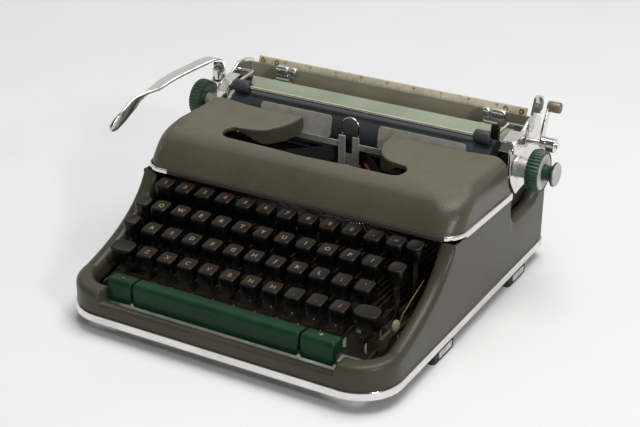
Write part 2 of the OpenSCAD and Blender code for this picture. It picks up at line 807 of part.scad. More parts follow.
function plate_outline() = [
    [plate_front, platen_z - 8], [plate_front + 15, platen_z - 28], [platen_y + 14, platen_z - 25.4],
    [rail_rear_y + 6, platen_z - 24.4], [rail_rear_y + 6, platen_z + 24], [platen_y + 43, platen_z + 30],
    [platen_y + 26, platen_z + 31], [platen_y + 14, platen_z + 25], [platen_y - 3, platen_z + 21.5],
    [plate_front, platen_z + 15]
];
module plate_form() {
    difference() {
        union() {
            along_x(end_in, end_out) polygon(plate_outline());
            translate([end_in - 9, plate_front, platen_z - 10]) cube([9.5, 1.6, 25]);
        }
        rod_x(platen_y, platen_z, shaft_r + run_gap, end_in - 1, end_out + 1);
        rod_x(bail_pivot_y, bail_pivot_z, bail_rod_r + run_gap, end_in - 1, end_out + 1);
    }
}

module end_plate_left() {
    shelf_z = platen_z + 15;
    color("#c8c8c6") union() {
        mirror([1, 0, 0]) plate_form();
        translate([0.3 - knob_in, lever_post_y - 8, shelf_z]) cube([knob_in - end_in - 0.8, 16, 3]);
        translate([lever_post_x, lever_post_y, shelf_z + 1]) cylinder(r = lever_post_r, h = 13);
    }
}

module end_plate_right() {
    color("#c8c8c6") union() {
        plate_form();
        rod_x(release_y, release_z, 2.5, end_out - 1, end_out + 22);
        rod_x(paper_lever_y, paper_lever_z, 2, end_out - 1, end_out + 3);
    }
}

module paper_table() {
    t = 1.5;
    r = platen_r + 1.6;
    c = [platen_y, platen_z];
    top = [platen_y + 29, platen_z + 18.5];
    color("#b7c1a4") along_x(-end_in + 12, end_in - 12) polygon(concat(
        arc(c, r, -32, 4, 6), [top], [top + [t, -0.6]], arc(c, r + t, 4, -32, 6)
    ));
    color("#b7c1a4") both_sides() along_x(end_in - 14, end_in) polygon([
        c + [r + t + 0.2, -2], c + [r + t + 0.2, 3], c + [r + t + 5, 3], c + [r + t + 5, -2]
    ]);
}

panel_top = platen_z + 25.5;
module rear_panel() {
    color("#6f6c58") along_x(-end_in, end_in) polygon([
        [panel_y, frame_low + frame_h], [panel_y + 2.5, frame_low + frame_h],
        [panel_y + 2.5, panel_top], [panel_y, panel_top]
    ]);
}

module margin_scale() {
    foot = [panel_y + 0.3, panel_top];
    color("#e2dcc2") along_x(-end_in + 8, end_in - 8)
        polygon([foot, foot + [2, 0], foot + [4.2, 5.7], foot + [2.4, 6]]);
}

module margin_rail() {
    color("#b0b0ad") translate([-end_in, margin_bar_y - 2, margin_bar_z - margin_bar_h / 2])
        cube([2 * end_in, 4, margin_bar_h]);
}

module margin_stop(x) {
    stop_w = 17;
    gap = 0.3;
    color("#c8c8c6") translate([x - stop_w / 2, margin_bar_y - 4.5, margin_bar_z - 4.5]) difference() {
        union() {
            cube([stop_w, 9, 9]);
            translate([2, 1, 8]) cube([stop_w - 4, 3, 6]);
        }
        translate([-1, 2.5 - gap, 4.5 - margin_bar_h / 2 - gap])
            cube([stop_w + 2, 4 + 2 * gap, margin_bar_h + 2 * gap]);
    }
}

stop_x = 97;
module margin_stop_left() {
    margin_stop(-stop_x);
}

module margin_stop_right() {
    margin_stop(stop_x + 5);
}

platen_half = end_in - 15;
module platen() {
    color("#2d2d2f") difference() {
        rod_x(platen_y, platen_z, platen_r, -platen_half, platen_half);
        rod_x(platen_y, platen_z, shaft_r + 0.02, -platen_half - 1, platen_half + 1);
    }
}

hub_r = 9;
module platen_shaft() {
    color("#c8c8c6") union() {
        rod_x(platen_y, platen_z, shaft_r, -knob_in - knob_w + 2, knob_in + knob_w - 2);
        rod_x(platen_y, platen_z, hub_r, end_out + 0.4, knob_in);
        rod_x(platen_y, platen_z, hub_r - 2, -knob_in, -end_out - 0.4);
        rod_x(platen_y, platen_z, platen_r - 3, -end_in + 9.5, -platen_half - 2);
    }
}

function rib_ring(n) = [
    for (i = [0:2 * n - 1]) let (a = 180 * i / n, r = knob_r - (i % 2) * 0.9) [r * cos(a), r * sin(a)]
];
button_r = 6.5;
module platen_knobs() {
    color("#27382c") {
        difference() {
            translate([0, platen_y, platen_z])
                along_x(knob_in, knob_in + knob_w) polygon(rib_ring(knob_ribs));
            rod_x(platen_y, platen_z, shaft_r + 0.02, knob_in - 1, knob_in + knob_w - 2);
            rod_x(platen_y, platen_z, button_r + 0.3, knob_in + knob_w - 2, knob_in + knob_w + 1);
        }
        difference() {
            translate([0, platen_y, platen_z])
                along_x(-knob_in - knob_w, -knob_in) polygon(rib_ring(knob_ribs));
            rod_x(platen_y, platen_z, knob_r - 4.5, -knob_in - 8, -knob_in + 1);
            rod_x(platen_y, platen_z, shaft_r + 0.02, -knob_in - knob_w + 2, -knob_in);
        }
    }
}

module platen_release_button() {
    x0 = knob_in + knob_w;
    color("#27382c") union() {
        rod_x(platen_y, platen_z, button_r, x0 - 1.7, x0 + 8);
        rod_x(platen_y, platen_z, button_r + 3.5, x0 + 7.5, x0 + 11.5);
    }
}

roller_w = 14;
roller_x = end_in - 30.5;
module paper_bail() {
    arm_x = roller_x + roller_w + 1.5;
    dy = bail_pivot_y - bail_y;
    dz = bail_pivot_z - bail_z;
    color("#d8d4c0") union() {
        translate([-roller_x + 2, bail_y, bail_z]) rotate([45, 0, 0]) translate([0, -0.7, -3])
            cube([2 * roller_x - 4, 1.4, 6]);
        rod_x(bail_y, bail_z, bail_rod_r, -arm_x, arm_x);
        both_sides() translate([arm_x, bail_y, bail_z]) rotate([atan2(dz, dy) - 90, 0, 0])
            translate([0, 0, -1]) cylinder(r = bail_rod_r - 0.25, h = norm([dy, dz]) + 2);
        both_sides() rod_x(bail_pivot_y, bail_pivot_z, bail_rod_r, arm_x - 1, end_in + 1.5);
        translate([arm_x - 1.5, bail_y - 2, bail_z]) cube([5, 4, 13]);
    }
}

module bail_rollers() {
    color("#1a1a1b") both_sides() difference() {
        rod_x(bail_y, bail_z, bail_roller_r, roller_x, roller_x + roller_w);
        rod_x(bail_y, bail_z, bail_rod_r + run_gap, roller_x - 1, roller_x + roller_w + 1);
    }
}

// Flat blade of the return lever: it rises from the hub, bends forward and turns upright at its finger end
lever_path = [
    [0.5, 8, 25.5, 0], [3.6, 1, 37, 0], [4, -4, 40.6, 0], [1, -12, 41.2, 0],
    [-6.4, -32, 37.7, 0], [-11.6, -52, 34.4, 4], [-14, -68, 30.7, 14], [-16.9, -80, 27.3, 30],
    [-20, -93, 22.5, 52], [-21.5, -106, 15.9, 70], [-25.4, -118.5, 8, 80]
];
function blade(p, i) = let (w = i == len(lever_path) - 1 ? 4 : 5.6, t = 1.4, c = cos(p[3]), s = sin(p[3])) [
    for (q = [[-w, -t], [w, -t], [w + 0.6, 0], [w, t], [-w, t], [-w - 0.6, 0]])
        [lever_post_x + p[0] + q[0] * c - q[1] * s, platen_y + p[1], platen_z + p[2] + q[0] * s + q[1] * c]
];
module return_lever() {
    hub_low = platen_z + 18.4;
    color("#c8c8c6") difference() {
        union() {
            loft([for (i = [0:len(lever_path) - 1]) blade(lever_path[i], i)]);
            translate([lever_post_x, lever_post_y, hub_low]) cylinder(r = 6, h = 9.6);
        }
        translate([lever_post_x, lever_post_y, 0]) cylinder(r = lever_post_r + run_gap, h = 300);
    }
}

module paper_release_lever() {
    x0 = end_out + 0.4;
    y = paper_lever_y;
    z = paper_lever_z;
    color("#c8c8c6") union() {
        along_x(x0, x0 + 2) difference() {
            polygon(concat(
                arc([y, z], 5, 180, 360, 8),
                [[y + 9, z + 18], [y + 8, z + 24], [y + 3, z + 23], [y - 3, z + 10]]
            ));
            translate([y, z]) circle(2 + run_gap);
        }
        along_x(x0, x0 + 6.2) polygon([
            [y + 2, z + 11], [y + 5, z + 10], [y + 9, z + 18],
            [y + 8, z + 24], [y + 5, z + 23.5], [y + 5.5, z + 18]
        ]);
    }
}

module carriage_release_lever() {
    x0 = end_out + 7;
    y = release_y;
    z = release_z;
    top = [y + 10, z + 29];
    color("#c8c8c6") difference() {
        union() {
            along_x(x0, x0 + 2)
                polygon([[y - 5, z], [y + 5, z - 2], [top[0] + 4, top[1]], [top[0] - 4, top[1] + 2]]);
            rod_x(y, z, 6, x0, x0 + 13);
            rod_x(top[0], top[1], 4.5, x0, x0 + 11);
        }
        rod_x(y, z, 2.5 + run_gap, x0 - 1, x0 + 20);
    }
}

module feed_rollers() {
    color("#242425") union() {
        rod_x(feed_y, feed_z, 1.5, -end_in + 0.3, end_in - 0.3);
        for (x = [-90, -30, 30, 90]) rod_x(feed_y, feed_z, feed_r, x - 22, x + 22);
    }
}

body_shell();
base_band();
base_frame();
rubber_feet();
foot_clips();
cover_trim();
side_frames();
cover_hinge_pins();
lever_fulcrum_rod();
lever_comb();
type_segment();
type_bars();
type_guide();
card_holders();
spool_cups();
ink_ribbon();
carriage_rails();
ribbon_cover();
ribbon_vibrator();
ribbon_spool_left();
ribbon_spool_right();
keytops(0);  // keytops_row_1
keytops(1);  // keytops_row_2
keytops(2);  // keytops_row_3
keytops(3);  // keytops_row_4
key_levers(0);  // key_levers_row_1
key_levers(1);  // key_levers_row_2
key_levers(2);  // key_levers_row_3
key_levers(3);  // key_levers_row_4
print_key();
print_type_bar();
shift_keytops();
shift_bail();
shift_lock_key();
tabulator_key();
backspace_key();
margin_release_key();
tab_clear_key();
tab_set_key();
space_bar();
carriage_truck();
carriage_frame();
end_plate_left();
end_plate_right();
paper_table();
rear_panel();
margin_scale();
margin_rail();
margin_stop_left();
margin_stop_right();
platen();
platen_shaft();
platen_knobs();
platen_release_button();
paper_bail();
bail_rollers();
return_lever();
paper_release_lever();
carriage_release_lever();
feed_rollers();
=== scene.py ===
import math
import bmesh
import bpy
import numpy as np
from mathutils import Matrix, Vector


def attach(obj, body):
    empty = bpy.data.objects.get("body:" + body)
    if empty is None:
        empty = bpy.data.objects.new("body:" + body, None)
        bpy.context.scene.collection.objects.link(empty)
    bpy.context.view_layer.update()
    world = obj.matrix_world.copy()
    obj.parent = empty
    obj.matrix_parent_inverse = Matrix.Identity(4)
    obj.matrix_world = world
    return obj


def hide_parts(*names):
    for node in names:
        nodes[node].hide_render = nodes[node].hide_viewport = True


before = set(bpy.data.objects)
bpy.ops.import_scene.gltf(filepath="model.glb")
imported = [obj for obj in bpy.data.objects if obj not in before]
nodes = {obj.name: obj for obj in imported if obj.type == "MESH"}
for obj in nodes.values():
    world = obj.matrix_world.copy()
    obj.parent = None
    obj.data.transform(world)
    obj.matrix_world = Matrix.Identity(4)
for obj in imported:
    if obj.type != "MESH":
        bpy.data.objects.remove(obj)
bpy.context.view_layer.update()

scene = bpy.context.scene
link = scene.collection.objects.link
columns, join = np.column_stack, np.concatenate
mm = 0.001
sharpDeg = 35  # edges sharper than this stay hard
dustAndSheenMm = 14  # size of the clouds in the dust and in the painted top sheen
mirrorX = np.array([-1.0, 1.0, 1.0])
axle = (80.0, 110.0)  # axis of the platen in y and z
print("frame loaded,", len(nodes), "nodes")


class Sizes(dict):
    # Dictionary of one piece's sizes in mm, whose entries are read as shell.front
    __getattr__ = dict.__getitem__


def linear(hexColour):
    # sRGB hex to the linear colour that shaders take
    part = np.array([int(hexColour[i:i + 2], 16) for i in (1, 3, 5)]) / 255
    part = np.where(part <= 0.04045, part / 12.92, ((part + 0.055) / 1.055) ** 2.4)
    return [*part.tolist(), 1.0]


def addNode(tree, kind, sockets=None, **settings):
    node = tree.nodes.new("ShaderNode" + kind)
    for key, value in settings.items():
        setattr(node, key, value)
    for key, value in (sockets or {}).items():
        if isinstance(value, bpy.types.NodeSocket):
            tree.links.new(value, node.inputs[key])
        else:
            node.inputs[key].default_value = value
    return node


def blendColour(tree, factor, a, b):
    # Mix node on colours: sockets 0 factor, 6 and 7 the colours, output 2
    return addNode(tree, "Mix", {0: factor, 6: a, 7: b}, data_type="RGBA").outputs[2]


def noise(tree, place, sizeMm, detail, roughness):
    # Scale is 1 / (feature size in metres), since Object coordinates are in metres
    return addNode(tree, "TexNoise", {"Vector": place, "Scale": 1 / (sizeMm * mm), "Detail": detail,
            "Roughness": roughness}).outputs["Fac"]


def remap(tree, value, low, high, toLow=0.0, toHigh=1.0):
    return addNode(tree, "MapRange", {"Value": value, 1: low, 2: high, 3: toLow, 4: toHigh}).outputs[0]


def combine(tree, operation, a, b, clamp=False):
    return addNode(tree, "Math", {0: a, 1: b}, operation=operation, use_clamp=clamp).outputs[0]


def makeFinish(name, dark, light, patchMm, rough, grainMm=1.0, bumpMm=0.0, dustAndSheen=None, stain=None,
        specular=0.5, **shaderSockets):
    # Patches of two tones, stains in blots, dust and painted sheen on faces that look up, and fine grain as
    # bump.
    # A stain is (colour, strength, blot in mm), the dust and sheen entry is (colour, strength, least upward
    # slope)
    material = bpy.data.materials.new(name)
    material.use_nodes = True
    tree = material.node_tree
    tree.nodes.clear()
    coord = addNode(tree, "TexCoord")
    place = coord.outputs["Object"]
    patch = noise(tree, place, patchMm, 5.0, 0.6)
    colour = blendColour(tree, remap(tree, patch, 0.32, 0.68), linear(dark), linear(light))
    roughness = remap(tree, patch, 0.3, 0.7, *rough)
    if stain:
        reach = remap(tree, noise(tree, place, stain[2], 7.0, 0.68), 0.5, 0.66, 0.0, stain[1])
        colour = blendColour(tree, reach, colour, linear(stain[0]))
        roughness = combine(tree, "ADD", roughness, reach, True)
    if dustAndSheen:
        # Faces that look up are lightened: dust, and on the hood a painted sheen for the light from above
        up = addNode(tree, "SeparateXYZ", {0: coord.outputs["Normal"]}).outputs["Z"]
        facing = remap(tree, up, dustAndSheen[2], 0.97, 0.0, dustAndSheen[1])
        cloud = remap(tree, noise(tree, place, dustAndSheenMm, 4.0, 0.6), 0.25, 0.75, 0.55, 1.0)
        amount = combine(tree, "MULTIPLY", facing, cloud)
        colour = blendColour(tree, amount, colour, linear(dustAndSheen[0]))
        roughness = combine(tree, "ADD", roughness, amount, True)
    sockets = {"Base Color": colour, "Roughness": roughness, "Specular IOR Level": specular, **shaderSockets}
    if bumpMm:
        grain = noise(tree, place, grainMm, 3.0, 0.55)
        bump = addNode(tree, "Bump", {"Height": grain, "Distance": bumpMm * mm, "Strength": 1.0})
        sockets["Normal"] = bump.outputs[0]
    shader = addNode(tree, "BsdfPrincipled", sockets)
    addNode(tree, "OutputMaterial", {"Surface": shader.outputs[0]})
    return material


def gridFaces(rows, cols, closeRows=False, closeCols=False):
    # Quads between neighbouring points of a grid, joined round where closed
    r = np.arange(rows if closeRows else rows - 1)[:, None]
    c = np.arange(cols if closeCols else cols - 1)[None, :]
    down, right = (r + 1) % rows, (c + 1) % cols
    corner = [r * cols + c, r * cols + right, down * cols + right, down * cols + c]
    return np.stack(np.broadcast_arrays(*corner), -1).reshape(-1, 4).tolist()


def skin(points, closeRows=False, closeCols=True, caps=True):
    # Surface through rows of points, with flat caps on the first and last row
    points = np.asarray(points, float)
    rows, cols = points.shape[:2]
    faces = gridFaces(rows, cols, closeRows, closeCols)
    if caps and not closeRows:
        faces += [list(range(cols)), list(range((rows - 1) * cols, rows * cols))]
    return points.reshape(-1, 3), faces


def addPiece(name, parts, material, body, stands=(), bevelMm=0.0, wallMm=0.0):
    verts, faces, start = [], [], 0
    for points, partFaces in parts:
        verts.append(points)
        faces += [[i + start for i in f] for f in partFaces]
        start += len(points)
    mesh = bpy.data.meshes.new(name)
    mesh.from_pydata((join(verts) * mm).tolist(), [], faces)
    work = bmesh.new()
    work.from_mesh(mesh)
    bmesh.ops.recalc_face_normals(work, faces=work.faces)
    work.to_mesh(mesh)
    work.free()
    mesh.shade_smooth()
    mesh.set_sharp_from_angle(angle=math.radians(sharpDeg))
    mesh.materials.append(material)
    piece = bpy.data.objects.new(name, mesh)
    link(piece)
    if wallMm:
        wall = piece.modifiers.new("wall", "SOLIDIFY")
        wall.thickness, wall.offset = wallMm * mm, -1
    if bevelMm:
        soften(piece, bevelMm)
    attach(piece, body)
    if stands:
        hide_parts(*stands)
    return piece


def soften(piece, widthMm):
    # Rounded edges on a CAD node or a piece, after its loose triangles are welded
    weld = piece.modifiers.new("weld", "WELD")
    weld.merge_threshold = 0.01 * mm
    edge = piece.modifiers.new("edge", "BEVEL")
    edge.width, edge.segments, edge.angle_limit = widthMm * mm, 2, math.radians(38)
    edge.limit_method, edge.harden_normals, edge.use_clamp_overlap = "ANGLE", True, True


def lathe(profile, centre, count=64, ribs=0, ribMm=0.0):
    # Turned round an axis along x: profile rows are (x, radius), with shallow ribs round it if asked
    profile = np.asarray(profile, float)
    a = np.linspace(0, 2 * np.pi, count, endpoint=False)
    radius = profile[:, 1][:, None] + (profile[:, 1] > 0)[:, None] * ribMm * np.cos(ribs * a)[None, :]
    x = np.broadcast_to(profile[:, 0][:, None], radius.shape)
    return skin(np.stack([x, centre[0] + radius * np.cos(a), centre[1] + radius * np.sin(a)], -1))


def unit(v):
    return v / np.linalg.norm(v, axis=1, keepdims=True)


def tube(path, radius, sides=12):
    # Round rod along a path
    path = np.asarray(path, float)
    way = unit(np.gradient(path, axis=0))
    lift = np.where(np.abs(way[:, 2:]) > 0.9, [[0.0, 1.0, 0.0]], [[0.0, 0.0, 1.0]])
    side = unit(np.cross(way, lift))
    up = np.cross(side, way)
    a = np.linspace(0, 2 * np.pi, sides, endpoint=False)[None, :, None]
    return skin(path[:, None] + radius * (np.cos(a) * side[:, None] + np.sin(a) * up[:, None]))


def block(low, high):
    # Box between two corners
    low, high = np.asarray(low, float), np.asarray(high, float)
    ring = np.array([[0, 0], [1, 0], [1, 1], [0, 1]], float)
    plan = low[:2] + ring * (high - low)[:2]
    return skin([columns([plan, np.full(4, z)]) for z in (low[2], high[2])])


def slab(outline, xs):
    # Flat sheet with an outline in (y, z), between two places in x
    return skin([columns([np.full(len(outline), x), outline]) for x in xs])


def smooth(points, count):
    # Catmull-Rom curve through points, count places along it
    p = np.asarray(points, float)
    p = join([[2 * p[0] - p[1]], p, [2 * p[-1] - p[-2]]])
    s = np.linspace(0, len(p) - 3, count)
    i = np.minimum(s.astype(int), len(p) - 4)
    t = (s - i)[:, None]
    a, b, c, d = p[i], p[i + 1], p[i + 2], p[i + 3]
    return 0.5 * (2 * b + (c - a) * t + (2 * a - 5 * b + 4 * c - d) * t ** 2
        + (3 * b - a - 3 * c + d) * t ** 3)


def bezier(p, t):
    p, t = np.asarray(p, float), np.asarray(t, float)[:, None]
    return (1 - t) ** 3 * p[0] + 3 * (1 - t) ** 2 * t * p[1] + 3 * (1 - t) * t ** 2 * p[2] + t ** 3 * p[3]


def arcs(centre, radius, fromDeg, toDeg, count):
    # Points on a circle in a plane
    a = np.radians(np.linspace(fromDeg, toDeg, count))
    return np.asarray(centre, float) + radius * columns([np.cos(a), np.sin(a)])


def besideLine(line, sign=1.0):
    # Unit vectors across a line in a plane, to its right, or to its left with sign -1
    way = unit(np.gradient(line, axis=0))
    return sign * columns([way[:, 1], -way[:, 0]])


def ease(x):
    x = np.clip(x, 0, 1)
    return x * x * (3 - 2 * x)


def roundRing(w, d, power, count):
    # Rounded rectangle as a superellipse: |2x/w|^power + |2y/d|^power = 1
    a = np.linspace(0, 2 * np.pi, count, endpoint=False)
    x, y = np.cos(a), np.sin(a)
    return columns([w / 2 * np.sign(x) * np.abs(x) ** (2 / power),
            d / 2 * np.sign(y) * np.abs(y) ** (2 / power)])


def glyph(text, sizeMm, depthMm):
    # One letter as a closed mesh round its own centre, in mm
    curve = bpy.data.curves.new("glyph", "FONT")
    curve.body, curve.size, curve.extrude = text, sizeMm, depthMm
    curve.align_x, curve.align_y, curve.resolution_u = "CENTER", "CENTER", 3
    holder = bpy.data.objects.new("glyph", curve)
    link(holder)
    mesh = bpy.data.meshes.new_from_object(holder.evaluated_get(bpy.context.evaluated_depsgraph_get()))
    points = np.zeros(len(mesh.vertices) * 3)
    mesh.vertices.foreach_get("co", points)
    faces = [list(f.vertices) for f in mesh.polygons]
    bpy.data.objects.remove(holder)
    bpy.data.curves.remove(curve)
    bpy.data.meshes.remove(mesh)
    return points.reshape(-1, 3), faces


def tipped(part, axis, deg, place=(0, 0, 0)):
    # A part turned round an axis, then moved to its place
    turn = np.array(Matrix.Rotation(math.radians(deg), 3, axis))
    return part[0] @ turn.T + np.asarray(place, float), part[1]


# Stove enamel with a fine orange-peel skin, dulled; its grain is drawn at 1.5 mm so that it shows
olivePaint = makeFinish("StoveEnamelOlive", "#38372a", "#413f30", 45, (0.28, 0.38), 1.5, 0.2, specular=0.27)
# The same enamel on the hood, paler on top: dust, and a painted sheen for the light that falls on its top
hoodPaint = makeFinish("StoveEnamelDustAndTopSheen", "#444234", "#4c4a39", 45, (0.27, 0.36), 1.5, 0.2,
    dustAndSheen=("#7a7464", 0.6, 0.8), specular=0.36)
# Rear panel, the same enamel painted paler, as painted light on a panel that faces forward into shade
panelPaintLit = makeFinish("StoveEnamelPaleLit", "#98937b", "#a39e86", 45, (0.4, 0.5), 1.3, 0.05)
# Flat dark primer with oil grime, on sheets whose darkness is painted shade in the carriage bay
bayShadePrimer = makeFinish("OilyPrimerBayShade", "#2a2721", "#3b372e", 20, (0.55, 0.7), stain=("#4a3a26", 0.6, 12))
# Bright nickel chrome with hazy patches and fine pitting
chrome = makeFinish("AgedChrome", "#d6d4d0", "#ecebe8", 18, (0.07, 0.16), 2.0, 0.004,
    stain=("#9a9488", 0.16, 9), Metallic=1.0)
# Turned grip, grey steel worn to brown
wornGrip = makeFinish("WornGrip", "#6f6453", "#857b6b", 4, (0.4, 0.55),
    stain=("#5c4630", 0.6, 4), Metallic=0.5)
# Type guide, platen shaft and vibrator plate, bright steel dulled to a satin face
satin = makeFinish("SatinSteel", "#b9b8b2", "#d6d5cf", 5, (0.3, 0.45),
    stain=("#6e6149", 0.5, 5), Metallic=0.55)
# Plain steel levers with dried brown oil
steel = makeFinish("OiledSteel", "#6a655b", "#8d887d", 9, (0.28, 0.45),
    stain=("#4a3620", 0.65, 7), Metallic=0.9)
# Black lacquer on frames and spools; on the front of the hood's trim the same black stands for a painted dark
# reflection in the chrome
lacquerAndDarkReflection = makeFinish("BlackLacquerAndDarkReflection", "#161513", "#22201d", 22, (0.35, 0.5), stain=("#3f3122", 0.35, 12))
# Platen and roller rubber, gone grey and hard
rubber = makeFinish("HardRubber", "#26282a", "#34373a", 26, (0.42, 0.55), 0.9, 0.02)
# Feet, dull soft rubber
softRubber = makeFinish("FootRubber", "#1f1e1d", "#2b2a28", 12, (0.7, 0.85), 1.2, 0.05)
# Key tops of black phenolic, polished by use on the sides, with finger dust in the dish
phenolic = makeFinish("BlackPhenolic", "#070605", "#0e0c0a", 8, (0.24, 0.34),
    dustAndSheen=("#544a40", 0.1, 0.35), specular=0.24)
# Bar keys of moulded dark green plastic
greenPlastic = makeFinish("GreenPlastic", "#0c2b16", "#123a1f", 30, (0.24, 0.32),
    dustAndSheen=("#3a4a3b", 0.12, 0.35), specular=0.16)
# Platen knobs, a greyer green
knobGreen = makeFinish("KnobGreenPlastic", "#16321f", "#21452c", 14, (0.26, 0.36),
    dustAndSheen=("#4d5e4f", 0.15, 0.35))
# Knob faces and foot clips, pale grey plastic with grime
paleGrey = makeFinish("PaleGreyPlastic", "#a9aaa6", "#bcbdb8", 10, (0.4, 0.5), stain=("#8a867a", 0.3, 12))
# Cream enamel of the scales, brown where it has worn
cream = makeFinish("CreamEnamel", "#bdb49c", "#d3cab3", 16, (0.35, 0.5), stain=("#8d7450", 0.5, 8))
# Pale sage paint of the paper table
sage = makeFinish("SageEnamel", "#a3ad94", "#b6bfa6", 40, (0.35, 0.45), 1.3, 0.03)
# Printing on the scales and the two colours of the key letters
ink = makeFinish("PrintedInk", "#2b2620", "#3a342b", 6, (0.5, 0.6))
gold = makeFinish("GoldLettering", "#8f7a48", "#ab955c", 3, (0.4, 0.5))
orange = makeFinish("OrangeLettering", "#9a5f30", "#b8773f", 3, (0.4, 0.5))
# Guide combs and hidden sheet steel, brown with old oil
oiledIron = makeFinish("BrownOiledIron", "#2f271e", "#4a3f31", 9, (0.4, 0.6),
    stain=("#5b3f22", 0.6, 6), Metallic=0.4)
# Eyelets of the scale, dull brass
brass = makeFinish("DullBrass", "#7d6233", "#a58448", 7, (0.35, 0.5),
    stain=("#4d3a1e", 0.5, 12), Metallic=0.8)
# Spring wire and adjusting disc in the well, browned by oil
dullWire = makeFinish("BrownedWire", "#4c3d24", "#6b5836", 6, (0.4, 0.55),
    stain=("#33261a", 0.5, 12), Metallic=0.6)
grimyCream = makeFinish("GrimyCream", "#7f7866", "#968e7a", 5, (0.45, 0.6), stain=("#5a4a33", 0.6, 3))
# Ribbon, inked cotton in black with a red edge
ribbonCloth = makeFinish("InkedCotton", "#0f0f11", "#1a1a1d", 5, (0.8, 0.9), 0.6, 0.05)
ribbonRed = makeFinish("InkedCottonRed", "#e0601c", "#f0792c", 5, (0.8, 0.9), 0.6, 0.05)
# Celluloid card holders, clear sheet dulled and yellowed in blots
celluloid = makeFinish("DulledCelluloid", "#a8a69a", "#bdbbb0", 12, (0.22, 0.35),
    stain=("#8a7348", 0.5, 16), Alpha=0.72)
print("finishes made")

# CAD nodes that are shown as they are, by finish and by the softening of their edges in mm
shownAs = [
    # The rear panel takes the paler enamel: painted light on a panel in shade
    (softRubber, 0.8, "rubber_feet"), (paleGrey, 0.6, "foot_clips"), (panelPaintLit, 0.5, "rear_panel"),
    (satin, 0.2, "type_guide"), (cream, 0.4, "margin_scale"), (chrome, 0, "ribbon_vibrator"),
    (chrome, 0.6, "margin_stop_left margin_stop_right"), (chrome, 0.5, "paper_release_lever"),
    (lacquerAndDarkReflection, 0, "base_frame ribbon_spool_left ribbon_spool_right"),
    (lacquerAndDarkReflection, 0.3, "side_frames spool_cups carriage_truck carriage_frame"),
    (steel, 0, "lever_fulcrum_rod type_segment type_bars print_type_bar carriage_rails"),
    (steel, 0.2, "cover_hinge_pins"), (steel, 0.3, "margin_rail"),
    (oiledIron, 0, "lever_comb shift_bail key_levers_row_1 key_levers_row_2"),
    (oiledIron, 0, "key_levers_row_3 key_levers_row_4"),
    (rubber, 0, "feed_rollers"), (ribbonCloth, 0, "ink_ribbon"),
]
for material, edgeMm, names in shownAs:
    for name in names.split():
        nodes[name].data.materials.clear()
        nodes[name].data.materials.append(material)
        if edgeMm:
            soften(nodes[name], edgeMm)

# Body shell: one hooked section carried round the keyboard, then a plain wall round the carriage
shell = Sizes(floor=11, halfW=141.5, front=-154, rear=154, cornerR=34, rearR=9, rearH=82.0, wall=2.4, lip=9,
    rimW=13, rimFront=39.5, rimRear=90, blockW=18, blockH=36.5, apronW=8, apronH=28.5, apronR=3.2,
    recess=103.5, stepW=3.2, coverFront=-38.8)
# Top of the side wall: it falls inwards where the corner of the opening hood swings past, rows (y, z, fall),
# then dips in a scoop for the carriage, whose edge is rolled inwards like the rim
scoop = Sizes(fall=[[-36.3, 89.7, 0], [-33.5, 89.7, 1.4], [-31, 89.7, 3.1], [-25, 89.6, 3.4],
        [-21, 89.3, 3.4], [-18, 89, 2.4], [-15.5, 88.8, 0.6], [-12, 88.8, 0]],
    start=[71.0, 85.8], bend=[84, 75], bendR=13, rise=[[108, 62], [126, 62], [136, 69], [144, 82]],
    rollFrom=71.2, rollIn=9, rollTo=144, rollOut=12, rollW=12.5, rollR=5.5)
quarterUp = np.radians(np.linspace(0, 90, 12))
quarterOver = np.radians(np.linspace(90, 180, 12))


def outerWall(h):
    # Two heights on the outer wall, so that its shading stays flat below the roll
    return np.maximum(h - 24, shell.floor + 1.5), np.maximum(h - 14, shell.floor + 3)


def hookSections(h, w, r):
    # Outer wall, rolled top and inner lip for arrays of height, width and roll radius; columns are (out, z)
    h, w, r = [np.broadcast_to(np.asarray(v, float), np.shape(h))[:, None] for v in (h, w, r)]
    t, one, a, b = shell.wall, np.ones_like(h), quarterUp, quarterOver
    foot, lipZ = shell.floor * one, h - r - shell.lip
    out = [*[0 * one] * 3, -r + r * np.cos(a), -w + r + r * np.cos(b), -w, -w + t,
        -w + r + (r - t) * np.cos(b[::-1]), -r + (r - t) * np.cos(a[::-1]), -t * one]
    z = [foot, *outerWall(h), h - r + r * np.sin(a), h - r + r * np.sin(b), lipZ, lipZ,
        h - r + (r - t) * np.sin(b[::-1]), h - r + (r - t) * np.sin(a[::-1]), foot]
    return np.stack([join(out, 1), join(z, 1)], -1)


def wallSections(h, lean=0.0):
    # Plain wall with a rounded top that falls inwards by lean, in as many columns as the hook
    h = np.asarray(h, float)[:, None]
    lean = np.broadcast_to(lean, len(h))[:, None]
    t, one, a, b = shell.wall, np.ones_like(h), quarterUp, quarterOver
    r = t / 2 - 0.1
    foot, innerZ = shell.floor * one, np.linspace(0.4, 12, 26)[None]
    out = [*[0 * one] * 3, one * (-r + r * np.cos(a)), one * (-t + r + r * np.cos(b)),
        one * np.full(innerZ.shape, -t), -t * one]
    z = [foot, *outerWall(h), h - r + r * np.sin(a), h - r + r * np.sin(b), h - r - innerZ, foot]
    out, z = join(out, 1), join(z, 1)
    z[:, 3:-1] += lean * out[:, 3:-1] / t
    return np.stack([out, z], -1)


def stand(sections, place, normal):
    # Sections set upright at places in plan, their first column along the outward normal
    place = np.asarray(place, float)
    normal = np.broadcast_to(np.asarray(normal, float), place.shape)
    plan = place[:, None] + sections[..., :1] * normal[:, None]
    return join([plan, sections[..., 1:]], -1)


